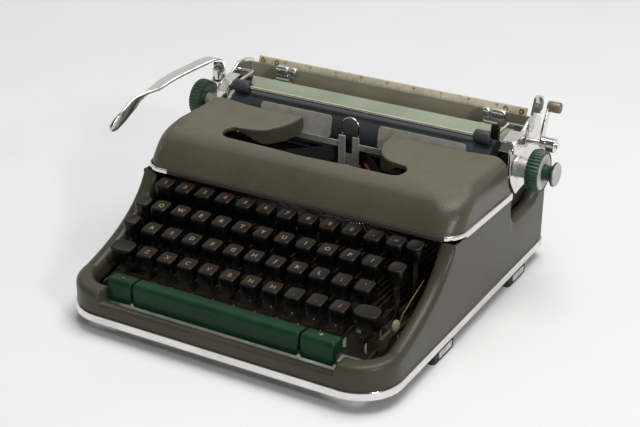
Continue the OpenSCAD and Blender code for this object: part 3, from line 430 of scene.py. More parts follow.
def frontHalf(s):
    # Rim beside the keys, front corner and step down to the apron, on the left
    cornerY, r = s.front + s.cornerR, s.rimW / 2 - 0.5
    # Line of the rim in (y, z): both ends and the handles beside them
    rim = bezier([[cornerY, s.rimFront], [cornerY + 30, s.rimFront + 7.5],
            [s.coverFront - 14, s.rimRear - 29], [s.coverFront + 2, s.rimRear]], np.linspace(1, 0, 70))
    sideRim = stand(hookSections(rim[:, 1], s.rimW, r),
        columns([np.full(len(rim), -s.halfW), rim[:, 0]]), [-1, 0])
    k = np.linspace(0, 1, 41)[1:]
    turn = columns([np.cos(np.pi * (1 + k / 2)), np.sin(np.pi * (1 + k / 2))])
    corner = stand(hookSections(s.rimFront + (s.blockH - s.rimFront) * k,
            s.rimW + (s.blockW - s.rimW) * k, r - k),
        [-s.halfW + s.cornerR, cornerY] + s.cornerR * turn, turn)
    k = np.linspace(0, 1, 12)
    down = ease(k)
    step = stand(hookSections(s.blockH + (s.apronH - s.blockH) * down,
            s.blockW + (s.apronW - s.blockW) * down, r - 1 + (s.apronR - r + 1) * down),
        columns([-s.recess - s.stepW / 2 + s.stepW * k, np.full(12, s.front)]), [0, -1])
    return join([sideRim, corner, step])


def rearHalf(s):
    # Side wall with its scoop and rear corner, on the right
    fall = smooth(scoop.fall, 36)
    line = join([fall[:, :2], [scoop.start], arcs(scoop.bend, scoop.bendR, 180, 270, 28),
            bezier(scoop.rise, np.linspace(0, 1, 30))])
    y, z = line.T
    lean = join([fall[:, 2], np.zeros(len(line) - len(fall))])
    rolled = ease((y - scoop.rollFrom) / scoop.rollIn) * ease((scoop.rollTo - y) / scoop.rollOut)
    rolled = rolled[:, None, None]
    sections = (1 - rolled) * wallSections(z, lean) + rolled * hookSections(z, scoop.rollW, scoop.rollR)
    side = stand(sections, columns([np.full(len(line), s.halfW), y]), [1, 0])
    turn = arcs([0, 0], 1, 0, 90, 16)
    corner = stand(wallSections(np.full(16, s.rearH)),
        [s.halfW - s.rearR, s.rear - s.rearR] + s.rearR * turn, turn)
    return join([side, corner])


front, wall = frontHalf(shell), rearHalf(shell)
shellRows = join([front, front[::-1] * mirrorX, wall, wall[::-1] * mirrorX])
addPiece("body_shell_skin", [skin(shellRows, closeRows=True)], olivePaint, "machine",
    ["body_shell"])
# Dark sheets beside the carriage bay, behind the scoops of the side walls, put there as painted shade that
# keeps the bay dark; spans are (y, y, top)
baffle = Sizes(x=127.7, half=0.5, low=60, spans=((66, 94.4, 81.4), (94.4, 138, 79.4)))
baffles = [block([side * baffle.x - baffle.half, y0, baffle.low], [side * baffle.x + baffle.half, y1, top])
    for side in (-1, 1) for y0, y1, top in baffle.spans]
addPiece("bay_baffles", baffles, bayShadePrimer, "machine")


def planLoop():
    # Body outline in plan and its outward normals
    w, front, rear, r, q = [shell[k] for k in ("halfW", "front", "rear", "rearR", "cornerR")]
    parts = [([w - r, rear - r], r, 0, 12), ([-w + r, rear - r], r, 90, 12),
        ([-w + q, front + q], q, 180, 40), ([w - q, front + q], q, 270, 40)]
    return (join([arcs(centre, radius, a, a + 90, n) for centre, radius, a, n in parts]),
        join([arcs([0, 0], 1, a, a + 90, n) for centre, radius, a, n in parts]))


# Bright band round the foot of the shell, rows (out, z)
bandLoop, bandNormal = planLoop()
bandShape = np.array([[0.05, 11.1], [1.1, 11.15], [1.4, 11.5], [1.5, 12.4], [1.5, 16.6], [1.35, 17.4],
        [1.0, 17.9], [0.05, 18]])
bandRows = stand(np.broadcast_to(bandShape, (len(bandLoop), *bandShape.shape)), bandLoop, bandNormal)
addPiece("base_band_skin", [skin(bandRows, closeRows=True)], chrome, "machine", ["base_band"])
print("body shell and band made")

# Ribbon cover: rings by height up the walls, then a ruled top to the edge of the type opening;
# swing is its clearance round the axis of the platen
cover = Sizes(halfW=141.3, front=-38.8, low=91.2, slope=-0.035, slopeTo=22, top=123, wallTop=118, sideR=15,
    cornerR=19, frontGrow=0.35, sideGrow=0.2, tail=70.3, swing=18.9, wall=1.9, turnR=2.0, earSag=3.4)
# Half of the type opening: ear, rounded end and straight front edge, moved sideways by middle
opening = Sizes(ear=[[41, 57.6], [41.4, 49], [44.5, 34], [52, 20.5], [62, 12], [72, 9.2]],
    end=[[72, 9.2], [79.3, 7.6], [82.6, 1.2], [80, -5.4], [73.5, -8]], middle=-2.5)
frontCurve = bezier([[0, cover.low], [6, cover.low + 15.8], [21, cover.top], [47, cover.top]],
    np.linspace(0, 1, 200))


def coverInsets(z):
    # How far the front and the sides lie inside the lower outline at a height
    lean = np.interp(z, frontCurve[:, 1], frontCurve[:, 0])
    rise = np.clip((z - cover.top + cover.sideR) / cover.sideR, 0, 1)
    return lean, cover.sideR * (1 - np.sqrt(1 - rise ** 2))


def coverHeight(x, y):
    # Height of the top: drops of the front curve and of the side rounds, joined as a root of squares
    front = cover.top - np.interp(y - cover.front, frontCurve[:, 0], frontCurve[:, 1])
    into = np.clip(cover.halfW - np.abs(x), 0, cover.sideR)
    side = cover.sideR - np.sqrt(cover.sideR ** 2 - (cover.sideR - into) ** 2)
    return cover.top - np.sqrt(front ** 2 + side ** 2)


def coverRing(z, n):
    # Left side from the rear, corner, front, corner and right side at one height, as (x, y, z)
    lean, tuck = coverInsets(z)
    ra, rb = cover.cornerR + cover.frontGrow * lean, cover.cornerR + cover.sideGrow * lean
    w, f = cover.halfW - tuck, cover.front + lean
    # The rear edge keeps clear of the platen
    rear = min(cover.tail, axle[0] - math.sqrt(max(cover.swing ** 2 - (z - axle[1]) ** 2, 0)))
    a = np.radians(np.linspace(180, 270, n[1]))
    left = join([columns([np.full(n[0], -w), np.linspace(rear, f + rb, n[0])]),
            columns([-w + ra + ra * np.cos(a), f + rb + rb * np.sin(a)])[1:],
            columns([np.linspace(-w + ra, 0, n[2]), np.full(n[2], f)])[1:]])
    plan = join([left, (left * [-1, 1])[::-1][1:]])
    fade = np.clip(1 - (z - cover.low) / cover.slopeTo, 0, 1)
    return columns([plan, z + cover.slope * (plan[:, 1] - cover.front) * fade])


def openingEdge(n):
    # Ear and slot outline from the left ear's tip round to the right ear's tip
    ear, end = smooth(opening.ear, n[0]), smooth(opening.end, n[1])
    slot = np.linspace(opening.end[-1], [0, opening.end[-1][1]], n[2])
    half = join([ear, end[1:], slot[1:]])
    return join([half * [-1, 1], half[::-1][1:]]) + [opening.middle, 0]


def coverSkin():
    n = (60, 30, 40)
    edge = openingEdge(n)
    heights = cover.low + (cover.wallTop - cover.low) * np.linspace(0, 1, 26)
    rings = np.stack([coverRing(z, n) for z in heights])[::-1]
    to = unit(rings[0][:, :2] - edge)
    r, span = cover.turnR, np.abs(np.linspace(-1, 1, len(edge)))
    # Skirt deep under the ears, a short lip along the slot
    deep = 3.2 + 10.5 * ease((span - 0.52) / 0.2) - 3.0 * ease((span - 0.9) / 0.1)
    lip = edge + r * to
    lipZ = coverHeight(*lip.T)
    skirt = [columns([edge, lipZ - r - (deep - r) * k]) for k in (1, 0.6, 0.2, 0)]
    a = np.radians(np.linspace(0, 90, 7))[1:]
    roll = [columns([edge + r * (1 - np.cos(q)) * to, lipZ - r * (1 - np.sin(q))]) for q in a]
    gap = rings[0][:, 2] - coverHeight(*rings[0][:, :2].T)
    top = []
    # Ears sweep back towards their outer ends: the first and last columns lag behind a straight line
    column = np.arange(len(edge))
    tailward = ease(1 - np.minimum(column, len(edge) - 1 - column) / 24)
    for k in np.linspace(0, 1, 22)[1:-1]:
        plan = lip + (rings[0][:, :2] - lip) * k
        plan[:, 1] -= cover.earSag * tailward * math.sin(math.pi * k) ** 2
        top.append(columns([plan, coverHeight(*plan.T) + gap * k ** 2]))
    return skin(join([skirt, roll, top, rings]), closeCols=False, caps=False)


addPiece("ribbon_cover_skin", [coverSkin()], hoodPaint, "cover", ["ribbon_cover"], bevelMm=0.5,
    wallMm=cover.wall)

# Bright strip round the cover's lower edge, hanging over the seam at the sides; in front it is drawn black, a
# painted reflection of the dark keys in its chrome.
# Its shape has rows (out, z, share of the hang)
trim = Sizes(straight=123, seam=0.2, hang=2.3, hangFrom=-21, hangOver=5, lacquerFrom=-118, lacquerTo=132,
    shape=np.array([[0.5, 0, 1], [1.0, 0.05, 1], [1.3, 0.4, 1], [1.35, 1.0, 0], [1.3, 2.5, 0],
        [0.9, 3.2, 0], [0.05, 3.4, 0], [0.05, 0.1, 0]]))
ringLow = coverRing(cover.low, (60, 40, 40))
trimX, trimY = ringLow[:, 0], ringLow[:, 1]
trimNormal = besideLine(ringLow[:, :2], -1.0)
trimNormal *= np.sign((trimNormal * ringLow[:, :2]).sum(1, keepdims=True) + 1e-9)
trimNormal[np.abs(trimX) < trim.straight] = [0, -1]
hang = trim.seam + trim.hang * ease((trimY - trim.hangFrom) / trim.hangOver)
trimZ = trim.shape[:, 1] - hang[:, None] * trim.shape[:, 2] + ringLow[:, 2:]
trimSections = np.stack([np.broadcast_to(trim.shape[:, 0], trimZ.shape), trimZ], -1)
trimRings = stand(trimSections, ringLow[:, :2], trimNormal)
# Between these ends the chrome is drawn black: painted reflection of the dark keys
darkReflected = np.flatnonzero((trimX > trim.lacquerFrom) & (trimX < trim.lacquerTo))
first, last = darkReflected[0], darkReflected[-1]
addPiece("cover_trim_skin", [skin(trimRings[:first + 1]), skin(trimRings[last:])], chrome, "cover",
    ["cover_trim"])
# Front of the trim in black, as painted reflection of the dark keys in its chrome
addPiece("cover_trim_front", [skin(trimRings[first:last + 1])], lacquerAndDarkReflection, "cover")
print("cover made")

# Keys: caps with splayed sides, a rolled rim and a dished face, tipped forward on their levers
keys = Sizes(pitch=19.1, firstX=-112.4, phase=(1.25, 0.75, 0.5, 0.0), y=(-108.0, -87.6, -67.2, -46.8),
    z=(57.0, 67.2, 77.4, 87.6), size=(13.4, 14.0), tall=12.5, tilt=9, rim=1.1, dish=0.75, power=5.4,
    letters=("ZXCVBNM,./", "ASDFGHJKL;'", "QWERTYUIOP?", "1234567890-="), printKey=(0, 4),
    letterSize=6.0, letterDepth=0.12, dishHalf=(5.4, 5.7))


def keyX(row, i):
    return keys.firstX + (keys.phase[row] + i) * keys.pitch


def capSkin(w, d, power):
    # Rings from the skirt over the rolled rim into the dish, z(rho) = -dish * (1 - rho^2)
    a = np.radians(np.linspace(0, 90, 6))
    rim, tall, n = keys.rim, keys.tall, 44
    inset = join([[-0.5, -0.6, -0.3], rim * (1 - np.cos(a)) - 0.2])
    z = join([[-tall, -tall + 0.3, -rim - 1.2], rim * np.sin(a) - rim])
    rings = [columns([roundRing(w - 2 * i, d - 2 * i, power, n), np.full(n, h)]) for i, h in zip(inset, z)]
    w, d = w - 2 * (rim - 0.2), d - 2 * (rim - 0.2)
    for rho in (0.93, 0.84, 0.72, 0.56, 0.38, 0.18):
        rings.append(columns([roundRing(w * rho, d * rho, 2 + (power - 2) * rho, n),
                np.full(n, -keys.dish * (1 - rho ** 2))]))
    return skin(rings)


def capAt(w, d, x, y, z, power=keys.power):
    return tipped(capSkin(w, d, power), "X", keys.tilt, (x, y, z))


def leverAt(x, y, z, low=29.0, top=37.0, half=0.7, rear=66, lead=5, stemHalf=2.5, stemIn=2, underCap=12.2):
    # Flat lever back to the fulcrum rod with an upright stem under its cap
    stem = y + keys.tall * math.sin(math.radians(keys.tilt))
    return [block([x - half, stem - lead, low], [x + half, rear, top]),
        block([x - half, stem - stemHalf, top - stemIn], [x + half, stem + stemHalf, z - underCap])]


def letterAt(text, x, y, z):
    # Letter laid into the dish: z follows the dish's paraboloid under it
    points, faces = glyph(text, keys.letterSize, keys.letterDepth)
    rho2 = (points[:, 0] / keys.dishHalf[0]) ** 2 + (points[:, 1] / keys.dishHalf[1]) ** 2
    points = points + columns([0 * rho2, 0 * rho2, -keys.dish * (1 - rho2) + 0.02])
    return tipped((points, faces), "X", keys.tilt, (x, y, z))


for row in range(4):
    y, z = keys.y[row], keys.z[row]
    caps, letters = [], []
    for i, letter in enumerate(keys.letters[row]):
        place = (keyX(row, i), y, z)
        cap, mark = capAt(*keys.size, *place), letterAt(letter, *place)
        if (row, i) == keys.printKey:
            addPiece("print_key_cap", [cap], phenolic, "print_key", ["print_key"])
            addPiece("print_key_lever", leverAt(*place), oiledIron, "print_key")
            addPiece("print_key_letter", [mark], orange, "print_key")
        else:
            caps.append(cap)
            letters.append(mark)
    body = f"row_{row + 1}"
    addPiece(f"{body}_caps", caps, phenolic, body, [f"keytops_{body}"])
    addPiece(f"{body}_letters", letters, (orange, gold, gold, orange)[row], body)

# Keys beside the letters: cap x, lever x, y, z, width, depth, body
besideKeys = [
    (-117.0, -120.0, -87.6, 70.2, 12.2, 12.8, "shift_lock"),
    (113.5, 113.5, -46.8, 88.1, 12.8, 12.8, "tabulator"),
    (109.0, 109.0, -67.2, 77.4, 12.8, 12.8, "backspace"),
    (-119.9, -122.5, -67.2, 77.4, 12.2, 12.8, "margin_release"),
]
besidePower = 3.2  # rounder than the letter keys
for capX, leverX, y, z, w, d, body in besideKeys:
    cap = capAt(w, d, capX, y, z, besidePower)
    addPiece(f"{body}_cap", [cap], phenolic, body, [f"{body}_key"])
    addPiece(f"{body}_lever", leverAt(leverX, y, z), oiledIron, body)
shiftKeys = [(20, 15, -111.5, -108, 57, 3.4), (20, 15, 104.5, -105, 57, 3.0)]  # as capAt takes them
addPiece("shift_caps", [capAt(*key) for key in shiftKeys], phenolic, "shift", ["shift_keytops"])

# Guide combs between the side frames: brown teeth between the levers that cross them
comb = Sizes(half=124.9, footHalf=123.8, foot=(14.2, 19.5), toothLow=19.4, thick=1.4, gap=1.2, least=0.6,
    asideX=[-120.0, -117.5, -115.0, -86.1, 85.8, 103.0, 117.5])


def combAt(y, rows, top):
    crossing = [keyX(row, i) for row in rows for i in range(10 + row)]
    ends = join([[-comb.half], np.sort(crossing + comb.asideX), [comb.half]])
    teeth = [pair for pair in zip(ends[:-1] + comb.gap, ends[1:] - comb.gap)
        if pair[1] - pair[0] > comb.least]
    rear, (low, high) = y + comb.thick, comb.foot
    foot = block([-comb.footHalf, y, low], [comb.footHalf, rear, high])
    return [foot] + [block([x0, y, comb.toothLow], [x1, rear, top]) for x0, x1 in teeth]


combs = combAt(-104, (0,), 30.6) + combAt(-80, (0, 1), 30)
addPiece("front_guide_comb", combs, oiledIron, "machine")
# At the right front of the well a bracket, a wire spring and a pale adjusting disc
well = Sizes(bracket=[([122.2, -117, 14], [123.6, -100, 27]), ([120.8, -119, 29], [123.6, -103, 45])],
    wire=[[121.4, -46, 59.5], [121.4, -62, 54], [121.4, -80, 47.4], [121.4, -86, 42]], wireR=0.7,
    disc=[[120.2, 0.4], [120.2, 4.2], [120.6, 4.7], [122.6, 4.7], [123.7, 3.0], [123.7, 0.4]],
    discAt=(-92.4, 42.9))
addPiece("well_bracket", [block(*corners) for corners in well.bracket], oiledIron, "machine",
    bevelMm=0.4)
addPiece("well_spring_wire", [tube(well.wire, well.wireR)], dullWire, "machine")
addPiece("well_adjuster", [lathe(well.disc, well.discAt, 40)], grimyCream, "machine")
print("keys made")

# Space bar and its two neighbours: rounded section with rolled ends
bars = Sizes(y=-144.5, d=15, low=28.5, top=47.5, half=8, left=-77.54, right=68.76, gap=1.5, endR=1.8,
    frontR=4.2, frontDrop=4.7, rearR=3.4, rearDrop=4.4, rearUp=3)


def barSkin(x0, x1):
    b, front, rear = bars, bars.y, bars.y + bars.d
    section = join([[[front, b.low]], arcs([front + b.frontR, b.top - b.frontDrop], b.frontR, 180, 98, 14),
            arcs([rear - b.rearR, b.top - b.rearDrop], b.rearR, 84, 0, 12), [[rear, b.low + b.rearUp]]])
    core = np.array([front + b.d / 2, b.top - b.half])
    k = np.linspace(0, 1, 7)
    inset = b.endR * (1 - np.sqrt(1 - (1 - k) ** 2))
    x = join([x0 + b.endR * k, x1 - b.endR * k[::-1]])
    scale = 1 - join([inset, inset[::-1]])[:, None, None] / b.half
    plane = core + (section - core)[None] * scale
    return skin(join([np.broadcast_to(x[:, None, None], (*plane.shape[:2], 1)), plane], -1))


addPiece("space_bar_skin", [barSkin(bars.left, bars.right)], greenPlastic, "space",
    ["space_bar"])
# Under the space bar a rod across with two flat arms, two drop plates and two struts up to the bar
arms = Sizes(x=117.5, front=-127.5, tabFront=-141.5, rod=[-125.5, 19.5], rodR=1.5, strutIn=18, strutR=1.2,
    strut=[[-136, 34], [-130, 27]])
spaceArms = [tube([[-arms.x, *arms.rod], [arms.x, *arms.rod]], arms.rodR)]


def armAt(x, front, rear=66, low=29, top=32.5, half=0.7):
    return block([x - half, front, low], [x + half, rear, top])


for x in (-arms.x, arms.x):
    spaceArms += [armAt(x, arms.front), armAt(x, arms.front, rear=-122.5, low=17.5, top=30)]
for x in (bars.left + arms.strutIn, bars.right - arms.strutIn):
    spaceArms.append(tube([[x, *yz] for yz in arms.strut + [arms.rod]], arms.strutR))
addPiece("space_bar_arms", spaceArms, oiledIron, "space")
# Tabulator bars: body, both ends, lever x and the mark on top
tabBars = [("tab_clear", -100.5, bars.left - bars.gap, -86.1, "-"),
    ("tab_set", bars.right + bars.gap, 98.5, 85.8, "+")]
tabMark = Sizes(size=8, depth=0.1, tilt=2, y=-137.5, z=47.42)
for body, x0, x1, leverX, mark in tabBars:
    addPiece(f"{body}_skin", [barSkin(x0, x1)], greenPlastic, body, [f"{body}_key"])
    addPiece(f"{body}_lever", [armAt(leverX, arms.tabFront)], oiledIron, body)
    sign = glyph(mark, tabMark.size, tabMark.depth)
    sign = tipped(sign, "X", tabMark.tilt, ((x0 + x1) / 2, tabMark.y, tabMark.z))
    addPiece(f"{body}_mark", [sign], gold, body)
print("bar keys made")

# Platen, shaft ends and knobs turn round one axis; profiles have rows (x, radius)
platen = Sizes(
    tyre=[[-121.5, 4.1], [-121.5, 16.7], [-120.9, 17.3], [120.9, 17.3], [121.5, 16.7], [121.5, 4.1]],
    shaft=[[-162, 0.3], [-162, 4], [162, 4], [162, 0.3]],
    rightHub=[[139.5, 4], [139.5, 7.6], [140.6, 7.6], [140.8, 8.8], [141, 9], [143, 9], [143.2, 8.6],
        [143.4, 8], [152.6, 8], [152.9, 7.6], [152.9, 4]],
    leftHub=[[-152.9, 4], [-152.9, 7], [-139.5, 7], [-139.5, 4]],
    ratchet=[[-127, 4], [-127, 14.3], [-123.6, 14.3], [-123.6, 4]], ratchetTeeth=24, ratchetMm=0.25)
knob = Sizes(
    right=[[153, 5], [153, 15.2], [153.5, 16.4], [154.4, 16.75], [162.6, 16.75], [163.6, 16.2], [164, 15.3],
        [163.7, 15.0], [163.2, 14.9], [163.2, 5]],
    left=[[-153, 12.8], [-153, 15.4], [-153.5, 16.4], [-154.4, 16.75], [-162.6, 16.75], [-163.6, 16.2],
        [-164, 15.2], [-164, 2], [-161.4, 2], [-161.4, 12.2], [-161, 12.7]],
    face=[[163.1, 6.9], [163.6, 7.0], [163.75, 7.6], [163.75, 14], [163.5, 14.7], [163.1, 14.8]],
    ribs=36, ribMm=0.35)
addPiece("platen_skin", [lathe(platen.tyre, axle, 96)], rubber, "platen", ["platen"])
addPiece("platen_shaft_skin", [
    lathe(platen.shaft, axle, 40), lathe(platen.rightHub, axle, 64), lathe(platen.leftHub, axle, 48),
    lathe(platen.ratchet, axle, 72, platen.ratchetTeeth, platen.ratchetMm)],
    satin, "platen", ["platen_shaft"])
knobRims = [lathe(knob[side], axle, 288, knob.ribs, knob.ribMm) for side in ("right", "left")]
addPiece("platen_knob_rims", knobRims, knobGreen, "platen", ["platen_knobs"])
addPiece("platen_knob_face", [lathe(knob.face, axle, 96)], paleGrey, "platen")
# Release button: a green cup that flares outwards, closed by a pale disc
button = Sizes(stem=[[162.4, 2], [162.4, 6.3], [166.5, 6.1], [169, 6.3], [170.6, 7.2], [171.6, 8.9],
        [172, 9.7], [173.2, 9.95], [173.6, 9.7], [173.6, 2]],
    disc=[[173.5, 2], [173.5, 9.3], [174.3, 9.4], [175, 8.7], [175.4, 6], [175.5, 0.4]])
addPiece("release_button_stem", [lathe(button.stem, axle, 72)], knobGreen, "button",
    ["platen_release_button"])
addPiece("release_button_disc", [lathe(button.disc, axle, 72)], paleGrey, "button")
print("platen and knobs made")

# Paper table: curved sheet under the platen, rising straight behind it, with a tab at each end
table = Sizes(r=18.9, arc=(-32, 4), rise=([99.2, 113.4], [109, 128.5]), thick=1.5, halfW=124.5,
    tabX=129.5, tabHalf=7, tabLow=(100.6, 108), tabHigh=(103.9, 113))
tableLine = join([arcs(axle, table.r, *table.arc, 40), np.linspace(*table.rise, 30)])
tableLoop = join([tableLine, (tableLine + table.thick * besideLine(tableLine))[::-1]])
tableTabs = [block([side * table.tabX - table.tabHalf, *table.tabLow],
        [side * table.tabX + table.tabHalf, *table.tabHigh]) for side in (-1, 1)]
tableSheet = slab(tableLoop, (-table.halfW, table.halfW))
addPiece("paper_table_skin", [tableSheet] + tableTabs, sage, "carriage", ["paper_table"],
    bevelMm=0.4)

# End plates: outline with rounded corners, rolled edges, and flanges turned in at the front and over the top
endPlate = Sizes(outline=[[70.5, 102], [85.5, 82], [94, 84.6], [134, 85.6], [134, 134], [123, 140],
        [106, 141], [94, 135], [77, 131.5], [70.5, 125]],
    keep=0.82, cut=0.18, x=[136.5, 136.65, 137.1, 138.4, 138.85, 139.0],
    inset=[0.7, 0.2, 0.0, 0.0, 0.2, 0.7], flange=([127.6, 70.5, 100.5], [137, 72.1, 124.5]),
    crest=[[70.8, 123.5], [72.2, 126.2], [77.4, 131.1], [85, 132.9], [93, 134.4]],
    crestX=(128.2, 137), crestThick=1.4, releasePin=([[138.5, 117, 118], [160.8, 117, 118]], 2.5),
    bailPin=([[138.5, 108, 135], [141.8, 108, 135]], 2.0), ledge=([-152.7, 80, 125], [-137, 96, 128]),
    leverPin=([[-147, 88, 126], [-147, 88, 138.8]], 3.0))
rounded = np.array(endPlate.outline, float)
for cutting in range(4):  # corner cutting, each pass replaces a corner by two points
    following = np.roll(rounded, -1, 0)
    rounded = np.stack([endPlate.keep * rounded + endPlate.cut * following,
            endPlate.cut * rounded + endPlate.keep * following], 1).reshape(-1, 2)
along = unit(np.roll(rounded, -1, 0) - np.roll(rounded, 1, 0))
inward = columns([-along[:, 1], along[:, 0]])
plateRings = [columns([np.full(len(rounded), x), rounded + inward * inset])
    for x, inset in zip(endPlate.x, endPlate.inset)]
crest = smooth(endPlate.crest, 40)
crestLoop = join([crest, (crest + endPlate.crestThick * besideLine(crest))[::-1]])
plate = [skin(plateRings), block(*endPlate.flange), slab(crestLoop, endPlate.crestX)]
addPiece("end_plate_right_skin", plate + [tube(*endPlate.releasePin, 24), tube(*endPlate.bailPin, 24)],
    chrome, "carriage", ["end_plate_right"], bevelMm=0.35)
addPiece("end_plate_left_skin", [(points * mirrorX, faces) for points, faces in plate]
    + [block(*endPlate.ledge), tube(*endPlate.leverPin, 24)],
    chrome, "carriage", ["end_plate_left"], bevelMm=0.35)

# Return lever: flat blade with rounded edges along a curved path, twisting upright towards its finger end.
# Path rows are (x, y, z, twist in degrees), width rows (place along the path, share)
returnLever = Sizes(
    path=[[-146.5, 88, 135.5, 0], [-143.4, 81, 147, 0], [-143, 76, 150.6, 0], [-146, 68, 151.2, 0],
        [-153.4, 48, 147.7, 0], [-158.6, 28, 144.4, 0], [-161, 12, 140.7, 8], [-163.9, 0, 137.3, 44],
        [-167, -13, 132.5, 84], [-168.5, -26, 125.9, 96], [-172, -38.5, 118, 100]],
    width=np.array([[0, 1], [25, 1.03], [45, 1.03], [70, 0.95], [92, 1.02], [119, 0.8]]), rows=120, tip=8,
    half=4.6, edge=1.35, pivot=[-147, 88, 0],
    hub=[[128.5, 3.1], [128.5, 5.6], [128.9, 6], [137.5, 6], [138, 5.5], [138, 3.1]])
leverPath = smooth(returnLever.path, returnLever.rows)
bladeRing = join([arcs([returnLever.half, 0], returnLever.edge, -90, 90, 9),
        arcs([-returnLever.half, 0], returnLever.edge, 90, 270, 9)])
width = np.interp(np.arange(returnLever.rows), *returnLever.width.T)
width[-returnLever.tip:] *= np.sqrt(1 - np.linspace(0, 0.93, returnLever.tip) ** 2)
cosine, sine = np.cos(np.radians(leverPath[:, 3:])), np.sin(np.radians(leverPath[:, 3:]))
flat, thin = bladeRing[:, 0] * width[:, None], bladeRing[:, 1]
blade = np.stack([leverPath[:, :1] + flat * cosine - thin * sine, leverPath[:, 1:2] + 0 * flat,
        leverPath[:, 2:3] + flat * sine + thin * cosine], -1)
hub = tipped(lathe(returnLever.hub, (0, 0), 48), "Y", -90, returnLever.pivot)
addPiece("return_lever_skin", [skin(blade), hub], chrome, "return_lever", ["return_lever"])

# Bail: rod and arms, a cream scale strip tipped towards the reader, a finger tab and rubber rollers
bail = Sizes(y=73.26, z=132.04, pivot=[104, 134], pivotX=138, armX=121.5, rodR=1.6, armR=1.35, pinIn=1,
    armKnee=(15, 1.5), strip=([-104, -0.6, -3], [104, 0.6, 3]), stripTilt=45, tabX=123.2,
    tabSize=(7.5, 3.4), tabPower=3.4,
    tabRows=((0.9, 0), (1, 1), (1, 10.5), (0.92, 12), (0.7, 12.8), (0.3, 13)), rollerX=(106.0, -120.0),
    roller=[[0, 1.7], [0, 4.7], [0.5, 5.3], [1.2, 5.5], [12.8, 5.5], [13.5, 5.3], [14, 4.7], [14, 1.7]])
bailY, bailZ = bail.y, bail.z
bailKnee = [bailY + bail.armKnee[0], bailZ + bail.armKnee[1]]
bailRods = [tube([[-bail.armX, bailY, bailZ], [bail.armX, bailY, bailZ]], bail.rodR, 20)]
for side in (-1, 1):
    armX, pinX, pivotX = side * bail.armX, side * (bail.armX - bail.pinIn), side * bail.pivotX
    bailRods.append(tube([[armX, bailY, bailZ], [armX, *bailKnee], [armX, *bail.pivot]], bail.armR, 16))
    bailRods.append(tube([[pinX, *bail.pivot], [pivotX, *bail.pivot]], bail.rodR, 16))
addPiece("paper_bail_rods", bailRods, chrome, "bail", ["paper_bail"])
strip = tipped(block(*bail.strip), "X", bail.stripTilt, (0, bailY, bailZ))
addPiece("bail_scale", [strip], cream, "bail", bevelMm=0.3)
tabRing = columns([roundRing(*bail.tabSize, bail.tabPower, 24), np.zeros(24)])
tabRings = [tabRing * [k, k, 0] + [bail.tabX, bailY, bailZ + h] for k, h in bail.tabRows]
addPiece("bail_finger_tab", [skin(tabRings)], phenolic, "bail")
rollers = [lathe(np.array(bail.roller) + [x, 0], (bailY, bailZ), 64) for x in bail.rollerX]
addPiece("bail_rollers_skin", rollers, rubber, "bail_rollers", ["bail_rollers"])

# Scales: marks 2.54 mm a space, longer every five and ten; heights are (ten, five, one)
scale = Sizes(space=2.54, tilt=68.2, place=(0, 124.35, 135.7), numberSize=2.6, numberDepth=0.05, numberY=4.3,
    marks=dict(reach=46, heights=(2.6, 2.0, 1.3), markW=0.35))
bailScale = Sizes(tilt=135, shift=[0, -2.9, 0.66], marks=dict(reach=39, heights=(3.4, 2.6, 1.7), markW=0.3))


def scaleMarks(reach, heights, markW):
    # Upright ticks in a plane, as thin boxes round z = 0 with their feet on y = 0
    spaces = np.arange(-reach, reach + 1)
    tall = np.where(spaces % 10 == 0, heights[0], np.where(spaces % 5 == 0, heights[1], heights[2]))
    return [block([x - markW / 2, 0, -0.05], [x + markW / 2, h, 0.05])
        for x, h in zip(spaces * scale.space, tall)]


marks = scaleMarks(**scale.marks)
for i, count in enumerate(range(-40, 41, 10)):
    points, faces = glyph(str(i * 10 + 10), scale.numberSize, scale.numberDepth)
    marks.append((points + [count * scale.space, scale.numberY, 0], faces))
marks = [tipped(mark, "X", scale.tilt, scale.place) for mark in marks]
addPiece("margin_scale_marks", marks, ink, "carriage")

# Finger caps of the margin stops, a wide and a narrow one on a short neck
stopCaps = Sizes(y=116.3, z=135.6, d=7.4, h=9.2, power=3.2, ends=[0.0, 0.5, 1.3, 2.4],
    swell=[0.7, 0.88, 0.97, 1.0], left=((-104.2, -91.6), (-90.6, -83.6), (-92.6, -89.6)),
    right=((101.4, 114.6), (94.2, 100.4), (99.4, 102.4)), neckLow=(114.6, 133), neckHigh=(118, 137))


def stopCap(x0, x1):
    # Superellipse section along x, drawn in towards both ends
    ring, ends = roundRing(stopCaps.d, stopCaps.h, stopCaps.power, 32), np.array(stopCaps.ends)
    rows = zip(join([x0 + ends, x1 - ends[::-1]]), stopCaps.swell + stopCaps.swell[::-1])
    return skin([columns([np.full(32, x), ring * k + [stopCaps.y, stopCaps.z]]) for x, k in rows])


for side in ("left", "right"):
    wide, narrow, (x0, x1) = stopCaps[side]
    neck = block([x0, *stopCaps.neckLow], [x1, *stopCaps.neckHigh])
    addPiece(f"margin_stop_caps_{side}", [stopCap(*wide), stopCap(*narrow), neck], chrome, f"stop_{side}")

# Brown eyelets at the ends of the margin scale
eyelet = Sizes(shape=[[-0.3, 1.0], [0.3, 1.1], [0.5, 1.4], [0.5, 1.9], [0.2, 2.3], [-0.3, 2.3]],
    y=125.4, z=138.4, xs=(-124, -110, 110, 124))
ring = tipped(lathe(eyelet.shape, (0, 0), 28), "Y", -90)
eyelets = [tipped(ring, "X", scale.tilt, (x, eyelet.y, eyelet.z)) for x in eyelet.xs]
addPiece("scale_eyelets", eyelets, brass, "carriage")
marks = [tipped((points + bailScale.shift, faces), "X", bailScale.tilt, (0, bailY, bailZ))
    for points, faces in scaleMarks(**bailScale.marks)]
addPiece("bail_scale_marks", marks, ink, "bail")

